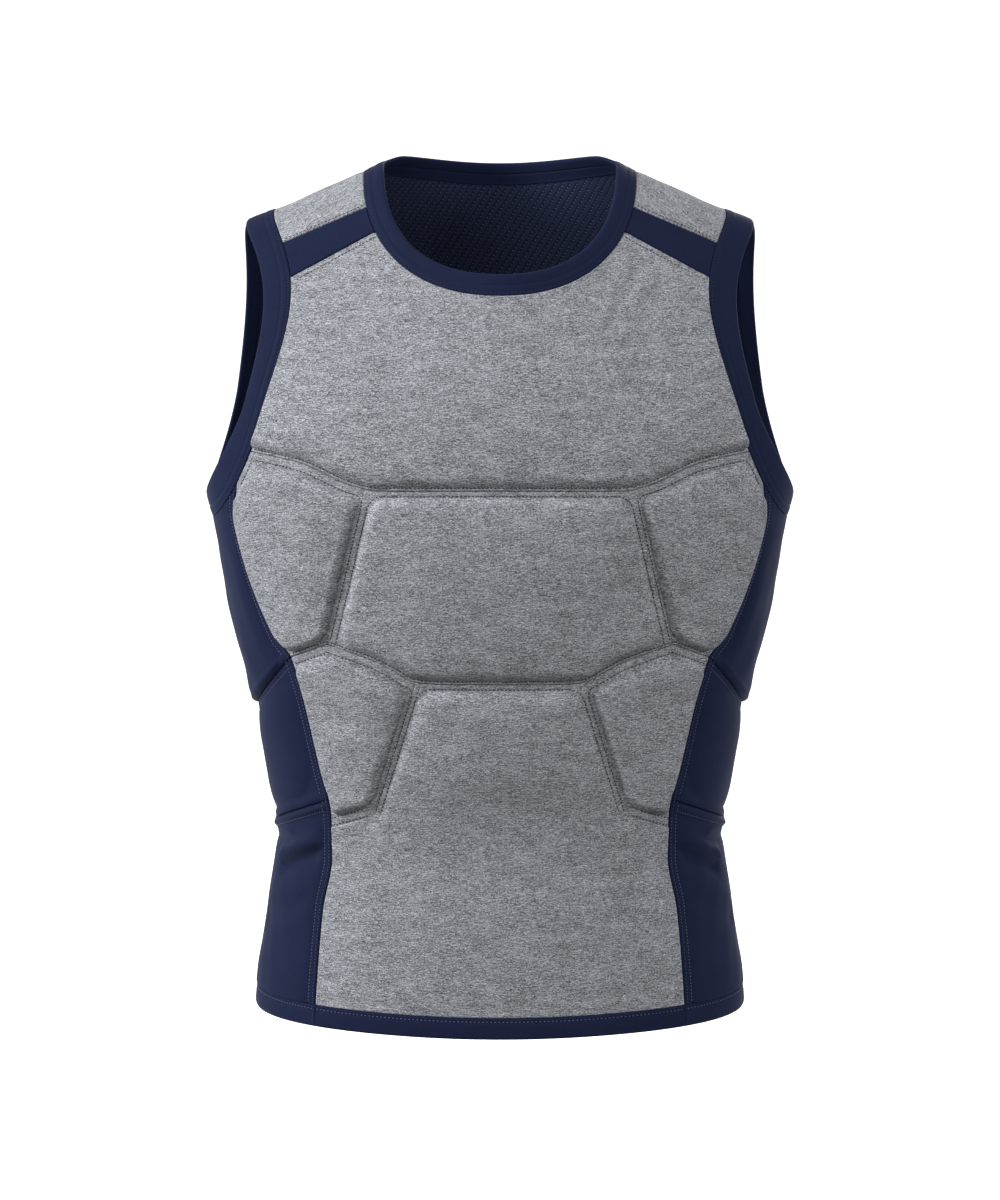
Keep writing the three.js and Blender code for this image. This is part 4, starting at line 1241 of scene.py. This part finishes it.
def shoulder_strip():
    borders = [border(strip.low), border(strip.top), border(neck.strip), border(arm.strip)]
    return Panel(FRONT, edge(strip.low), edge(strip.top), edge(neck.strip), edge(arm.strip[::-1]), borders,
                 uneven=0.2, seed=8, lips="low top")


def side_upper():
    borders = [
        border(across.upper, ACROSS_MARGIN.over_upper, roll=ACROSS_ROLL.over_upper), border(arm.under),
        border(front_seam.upper, SIDE_MARGIN, SIDE_ROWS), border(rear_seam.upper, SIDE_MARGIN, SIDE_ROWS),
    ]
    return Panel(AROUND, edge(across.upper), edge(arm.under), edge(front_seam.upper[::-1]),
                 edge(rear_seam.upper[::-1]), borders, SIDE_FOAM.upper, bevel=SIDE_BEVEL.upper,
                 corner=SIDE_BEVEL.upper, blow=PRESSURE, uneven=0.2, seed=9, fade=SIDE_FADE,
                 lips="left right", lines=SIDE_LINES)


def side_middle():
    borders = [
        border(across.lower, ACROSS_MARGIN.over_lower, roll=ACROSS_ROLL.over_lower),
        border(across.upper, ACROSS_MARGIN.under_upper, (ACROSS_ROWS.upper,)),
        border(front_seam.middle, SIDE_MARGIN, SIDE_ROWS), border(rear_seam.middle, SIDE_MARGIN, SIDE_ROWS),
    ]
    return Panel(AROUND, edge(across.lower), edge(across.upper), edge(front_seam.middle[::-1]),
                 edge(rear_seam.middle[::-1]), borders, SIDE_FOAM.middle, bevel=SIDE_BEVEL.middle,
                 corner=SIDE_BEVEL.middle, uneven=0.2, seed=10, lips="top left right", lines=SIDE_LINES)


def side_lower():
    front_edge = edge(front_seam.lower[::-1], front_seam.foot[::-1], shares=(4, 1))
    rear_edge = edge(rear_seam.lower[::-1], rear_seam.foot[::-1], shares=(4, 1))
    borders = [
        border(hem_top.side),
        border(across.lower, ACROSS_MARGIN.under_lower, (ACROSS_ROWS.lower,), roll=ACROSS_ROLL.under_lower),
        border(front_edge[:, 1:], SIDE_MARGIN, SIDE_ROWS), border(rear_edge[:, 1:], SIDE_MARGIN, SIDE_ROWS),
    ]
    return Panel(AROUND, edge(hem_top.side), edge(across.lower), front_edge, rear_edge, borders,
                 SIDE_FOAM.lower, bevel=SIDE_BEVEL.lower, uneven=0.2, seed=11, folds=SIDE_FOLDS,
                 lips="top left right", lines=SIDE_LINES)


def back_parts():
    """The back in grids that share points: up to the neck, and one over each shoulder to its strip."""
    (arm_x, arm_up), (neck_x, neck_up) = BACK.flat(arm.over[0]), BACK.flat(neck.back[0])
    line = seam(lambda t: BACK.onto(arm_x + (neck_x - arm_x) * t, arm_up + (neck_up - arm_up) * t), 0, 1)
    rear = edge(*(run[::-1] for run in (rear_seam.lower, rear_seam.foot, rear_seam.middle, rear_seam.upper)),
                arm.back, shares=(4, 1, 4, 4, 7))
    top = edge(line, neck.back, mirror(line)[::-1], shares=SHOULDER_SHARES)
    seams = [border(hem_top.back), border(neck.back)]
    for turn in (lambda run: run, mirror):
        seams += [border(turn(rear[:, 1:])), border(turn(arm.over)), border(turn(neck.over)),
                  border(turn(strip.top), rows=STRIP_ROWS)]
    body = Panel(BACK, edge(hem_top.back), top, rear, rear * np.array([1.0, -1.0, 1.0, 1.0]), seams,
                 uneven=0.5, seed=12)
    over = Panel(BACK, edge(line), edge(strip.top[::-1]), edge(arm.over), edge(neck.over[::-1]), seams,
                 uneven=0.5, seed=12)
    sizes = (over.width, over.height, lengths(neck.back)[-1], body.height)
    over_u, over_v, neck_u, body_v = (graded(size, BACK_LINES, BACK_STEP) for size in sizes)
    ends = np.cumsum(SHOULDER_SHARES) / sum(SHOULDER_SHARES)
    body.build(in_three(ends, over_u, neck_u), body_v)
    over.build(over_u, over_v, open_sides=("low",))
    return body, over


GREY_WALL = (MARL, MESH)
NAVY_WALL = (NAVY, MESH)
HALVES = (("left", False), ("right", True))
for node, made in (("chest_panel", chest()), ("upper_pad_centre", centre_pad())):
    panel_wall(node, made.build().turn_lips(), GREY_WALL, "grey_marl")
BELLY_LOWER, BELLY_UPPER, belly_column = belly_parts()
belly = joined_wall("belly_panel", BELLY_LOWER, [(BELLY_UPPER, False, belly_column)], GREY_WALL, "grey_marl")
PANELS = {}
for node, made, finish, slot in (
    ("upper_pad", upper_pad(), GREY_WALL, "grey_marl"), ("lower_pad", lower_pad(), GREY_WALL, "grey_marl"),
    ("side_upper", side_upper(), NAVY_WALL, "navy_stretch"),
    ("side_middle", side_middle(), NAVY_WALL, "navy_stretch"),
    ("side_lower", side_lower(), NAVY_WALL, "navy_stretch"),
):
    made.build().turn_lips()
    PANELS[node] = made
    for side, flip in HALVES:
        panel_wall(f"{node}_{side}", made, finish, slot, flip=flip)
made = shoulder_strip().build().turn_lips()
for side, flip in HALVES:
    piece = panel_wall(f"shoulder_strip_{side}", made, NAVY_WALL, "navy_stretch", flip=flip)


BODY, OVER = back_parts()
join_cloth(BACK, BODY, OVER)
shoulders = [(OVER, False, 0), (OVER, True, BODY.grid.high.shape[1] - OVER.grid.high.shape[1])]
for node, materials, slot, heights in (
    ("back_panel", GREY_WALL, "grey_marl", None),
    ("back_lining", (MESH,), "navy_mesh", (LINING_INNER, LINING_OUTER)),
):
    piece = joined_wall(node, BODY, shoulders, materials, slot, heights)

# Band profiles as share of the width, millimetres more, and height: outer face, free edge, inner face
BINDING = even_profile([
    (0, -0.4, 2.5), (0, -0.35, 2.9), (0, 0.2, 3.5), (0, 1.1, 3.7), (0, 2.0, 3.25), (0, 2.9, 3.8),
    (0, 5.5, 4.0), (0, 7.0, 3.8), (0, 7.6, 3.3), (0, 8.3, 3.9), (0.7, 0, 4.2), (1, -2.2, 4.1),
    (1, -0.9, 3.6), (1, -0.25, 2.9), (1, 0, 2.2), (1, -0.3, 1.4), (1, -1.2, 0.8), (1, -3.0, 0.5),
    (0.54, 0, 0.4), (0.5, 0.4, 0.6), (0.5, 0, 1.3), (0.5, -0.4, 0.6), (0.46, 0, 0.4), (0, 1.6, 0.1),
    (0, -0.4, -0.6), (0, -0.7, -0.3), (0, -0.4, 0.0), (0, 0.1, 0.2), (0, 0.1, 2.0),
], 60)
HEM_PROFILE = even_profile([
    (0, -0.4, 2.5), (0, -0.35, 2.9), (0, 0.3, 3.5), (0, 1.2, 3.7), (0, 1.9, 3.5), (0, 2.5, 3.05),
    (0, 3.1, 3.5), (0, 6.0, 3.9), (0.7, 0, 3.9), (1, -2.2, 3.8), (1, -0.9, 3.4), (1, -0.25, 2.8),
    (1, 0, 2.2), (1, -0.3, 1.6), (1, -1.2, 1.2), (0.5, 0, 0.8), (0, 1.6, 0.1), (0, -0.4, -0.6),
    (0, -0.7, -0.3), (0, -0.4, 0.0), (0, 0.1, 0.2), (0, 0.1, 2.0),
], 46)


BAND_STEP = 2.2
neck_loop = even(neck_run(-np.pi, np.pi), BAND_STEP)[:-1]
neck_free = opposite(neck_loop, neck_opening_at, lambda p: np.arctan2(p[:, 0], -p[:, 1] - RIDGE_Y))
neck_free[0] = neck_opening_at(np.pi)
piece = band("neck_binding", neck_loop, neck_free, BINDING, (NAVY,), closed=True)
arm_loop = even(arm_run(0, FULL), BAND_STEP)[:-1]
arm_free = opposite(arm_loop, lambda t: arm_point(ARM_OPENING, t),
                    lambda p: np.arctan2(RIDGE_Y / 2 - p[:, 1], p[:, 2] - ARM_MIDDLE_Z))
for side, loop, free in (
    ("left", arm_loop, arm_free), ("right", mirror(arm_loop)[::-1], mirror(arm_free)[::-1]),
):
    piece = band(f"armhole_binding_{side}", loop, free, BINDING, (NAVY,), closed=True)


def hem_runs(name):
    """Matching points along the top and the foot of one stretch of hem, with a gap at its ends."""
    top, foot = getattr(hem_top, name), getattr(hem_foot, name)
    count = int(lengths(top)[-1] / BAND_STEP)
    t = np.linspace(SEAM_GAP / lengths(top)[-1], 1 - SEAM_GAP / lengths(top)[-1], count)
    return [at_places(run, np.linspace(0, 1, len(run)), t) for run in (top, foot)]


for node, name, flip in (
    ("hem_front", "front", False), ("hem_back", "back", False),
    ("hem_left", "side", False), ("hem_right", "side", True),
):
    top, foot = hem_runs(name)
    if flip:
        top, foot = mirror(top)[::-1], mirror(foot)[::-1]
    if name == "front":
        top, foot = top[::-1], foot[::-1]
    piece = band(node, top, foot, HEM_PROFILE, (NAVY,))

# Stitch rows
DOT, FINE_DOT = (2.0, 0.42), (1.9, 0.41)
DASH = (1.5, 0.3)
PITCH, SIDE_PITCH, HEM_PITCH = 2.9, 2.5, 3.0
HEM_ROW, HEM_LIFT = 2.5, 3.4
BAND_ROWS, BAND_LIFT = (2.0, 7.6), 3.35
SIDE_SEAT = 0.36
ROW_LIFT = CLOTH - 0.12
INNER_TURN, OUTER_TURN = 11.0, 5.0


whole_yoke = np.concatenate([mirror(yoke.side)[:0:-1], yoke.middle[:-1], yoke.side])
whole_waist = np.concatenate([
    mirror(waist.side)[:-1], mirror(waist.slope)[:-1], waist.middle[::-1][:-1], waist.slope[::-1][:-1],
    waist.side[::-1],
])
grey_rows = [
    stitch_row(whole_yoke, ROW_ABOVE, ROW_LIFT, PITCH, DOT, (3, 3)),
    stitch_row(whole_waist, ROW_ABOVE, ROW_LIFT, PITCH, DOT, (3, 3)),
]
# Rows that turn round the pads' corners: middle seam, turn, channel, and channel, turn, sloping seam
inner_turns, outer_turns = [], []
for run, slope, middle, sewn in (
    (channel.upper, yoke.side, yoke.middle, UPPER_SEWN),
    (channel.lower, np.concatenate([waist.slope[::-1][:-1], waist.side[::-1]]), waist.middle[::-1],
     LOWER_SEWN),
):
    near, far = (beside(run, -away) for away in sewn.rows)
    inner_turns.append(turned(beside(middle[len(middle) // 2:], -ROW_BELOW), far, INNER_TURN))
    outer_turns.append(turned(near[::-1], beside(slope, -ROW_SLOPE), OUTER_TURN))
outer_turns[0] = turned(outer_turns[0], beside(arm.upper, -ROW_ARM), OUTER_TURN)
left_rows = [stitch_row(run, 0, ROW_LIFT, PITCH, FINE_DOT, (0, 4)) for run in inner_turns]
left_rows += [stitch_row(run, 0, ROW_LIFT, PITCH, FINE_DOT, (4, 3)) for run in outer_turns]
for away, size in zip(FOOT_SEWN.rows, (DOT, FINE_DOT)):
    left_rows.append(stitch_row(channel.foot, away, ROW_LIFT, PITCH, size, (2 + away, 1)))
left_rows.append(stitch_row(strip.low, -STRIP_ROWS[1], ROW_LIFT, PITCH, FINE_DOT, (2, 2)))
left_rows.append(stitch_row(strip.top, STRIP_ROWS[0], ROW_LIFT, PITCH, FINE_DOT, (2, 2)))
# The grey rows use the dark thread whose colour carries the painted shade of the needle holes
stitches("stitches_grey", grey_rows + both_halves(left_rows), GREY_THREAD_PAINTED_SHADE)


def side_lift(place):
    """Height of the stitches on the lower side panel, which lie on its folds."""
    return PANELS["side_lower"].relief(place) + SIDE_SEAT


side_rows, inner_rows = [], []
for seams, way in ((front_seam, 1), (rear_seam, -1)):
    high = np.concatenate([seams.upper[:-1], seams.middle])
    low = np.concatenate([seams.foot[:-1], seams.lower])
    for group, away in ((inner_rows, SIDE_ROWS[0]), (side_rows, SIDE_ROWS[1])):
        group.append(stitch_row(high, way * away, ROW_LIFT, SIDE_PITCH, DASH, (3, 0)))
        group.append(stitch_row(low, way * away, side_lift, SIDE_PITCH, DASH, (0, 1)))
side_rows.append(stitch_row(across.upper, -ACROSS_ROWS.upper, ROW_LIFT, SIDE_PITCH, DASH, (7, 7)))
side_rows.append(stitch_row(across.lower, -ACROSS_ROWS.lower, side_lift, SIDE_PITCH, DASH, (7, 7)))
stitches("stitches_side", both_halves(side_rows), PALE_THREAD)
stitches("stitches_side_inner", both_halves(inner_rows), DULL_THREAD)
hem_side, hem_front, hem_back = (
    stitch_row(run, -HEM_ROW, HEM_LIFT, HEM_PITCH, DASH)
    for run in (hem_top.side, hem_top.front[::-1], hem_top.back)
)
stitches("stitches_hem", [hem_front, hem_back] + both_halves([hem_side]), PALE_THREAD)
band_rows = []
for away in BAND_ROWS:
    band_rows += [stitch_row(neck_run(-np.pi, np.pi), away, BAND_LIFT, PITCH, DASH)]
    band_rows += both_halves([stitch_row(arm_run(0, FULL), away, BAND_LIFT, PITCH, DASH)])
stitches("stitches_bands", band_rows, NAVY_THREAD)

# Stage: a pale floor that sweeps up behind, soft light and the camera
FLOOR = SimpleNamespace(z=-1.05, front=-6.0, back=2.6, half=7.0, sweep=1.2, wall=6.0)
SKY_LOW, SKY_HIGH = 0.02, 0.68
# Lights: name, place, height aimed at, size and power
LIGHTS = [
    ("key", (-2.65, -0.7, 0.95), -0.25, 1.3, 87),
    ("front", (-1.6, -2.6, 0.6), -0.3, 1.0, 18),
    ("fill", (2.45, -1.1, 0.7), -0.25, 1.3, 25),
    ("rear", (0.9, 2.7, 0.7), -0.3, 1.5, 45),
]


def floor_sweep():
    """A profile carried along X: flat floor, a quarter circle, then a wall."""
    turn = np.linspace(0, np.pi / 2, 24)
    y = np.concatenate([[FLOOR.front], FLOOR.back + FLOOR.sweep * np.sin(turn), [FLOOR.back + FLOOR.sweep]])
    z = np.concatenate([[FLOOR.z], FLOOR.z + FLOOR.sweep * (1 - np.cos(turn)), [FLOOR.z + FLOOR.wall]])
    x = np.array([-FLOOR.half, FLOOR.half])
    points = np.stack([np.tile(x, len(y)), np.repeat(y, 2), np.repeat(z, 2)], 1)
    mesh = bpy.data.meshes.new("floor")
    mesh.from_pydata(points.tolist(), [], quads(numbered(len(y), 2)).tolist())
    mesh.polygons.foreach_set("use_smooth", np.ones(len(mesh.polygons), bool))
    floor = bpy.data.objects.new("floor", mesh)
    bpy.context.scene.collection.objects.link(floor)
    material, _, _ = new_material("pale_floor", {
        "Base Color": (0.9, 0.9, 0.9, 1), "Roughness": 0.9,
        "Emission Color": (1, 1, 1, 1), "Emission Strength": 0.65,
    })
    mesh.materials.append(material)
    floor.visible_diffuse = False


def soft_light(name, place, aim, size, power):
    light = bpy.data.lights.new(name, "AREA")
    light.shape, light.size, light.energy = "SQUARE", size, power
    lamp = bpy.data.objects.new(name, light)
    bpy.context.scene.collection.objects.link(lamp)
    way = np.array(aim, float) - np.array(place, float)
    lamp.location = place
    lamp.rotation_euler = (np.arccos(-way[2] / np.linalg.norm(way)), 0, np.arctan2(way[0], -way[1]) + np.pi)


def sky():
    """Studio fill that comes from above, in front of a white backdrop."""
    world = bpy.data.worlds.new("studio")
    world.use_nodes = True
    tree = world.node_tree
    place = add_node(tree, "ShaderNodeTexCoord")
    split = add_node(tree, "ShaderNodeSeparateXYZ")
    tree.links.new(place.outputs["Generated"], split.inputs[0])
    heights = {"From Min": -1, "From Max": 1, "To Min": SKY_LOW, "To Max": SKY_HIGH}
    shade = add_node(tree, "ShaderNodeMapRange", heights)
    tree.links.new(split.outputs["Z"], shade.inputs["Value"])
    path = add_node(tree, "ShaderNodeLightPath")
    mix = add_node(tree, "ShaderNodeMix", {"B": 1.0})
    tree.links.new(path.outputs["Is Camera Ray"], mix.inputs["Factor"])
    tree.links.new(shade.outputs["Result"], mix.inputs["A"])
    tree.links.new(mix.outputs["Result"], tree.nodes["Background"].inputs["Strength"])
    tree.nodes["Background"].inputs["Color"].default_value = (1, 1, 1, 1)
    bpy.context.scene.world = world


floor_sweep()
sky()
for name, place, aim_z, size, power in LIGHTS:
    soft_light(name, place, (0, 0, aim_z), size, power)

VIEW_DISTANCE, VIEW_DOWN, VIEW_AIM_Z, LENS, SENSOR = 2.6, np.radians(6), -0.308, 102.6, 36
camera = bpy.data.objects.new("camera", bpy.data.cameras.new("camera"))
bpy.context.scene.collection.objects.link(camera)
camera.location = (0, -VIEW_DISTANCE * np.cos(VIEW_DOWN), VIEW_AIM_Z + VIEW_DISTANCE * np.sin(VIEW_DOWN))
camera.rotation_euler = (np.pi / 2 - VIEW_DOWN, 0, 0)
camera.data.lens, camera.data.sensor_width = LENS, SENSOR
bpy.context.scene.camera = camera
bpy.context.scene.view_settings.view_transform = "Standard"
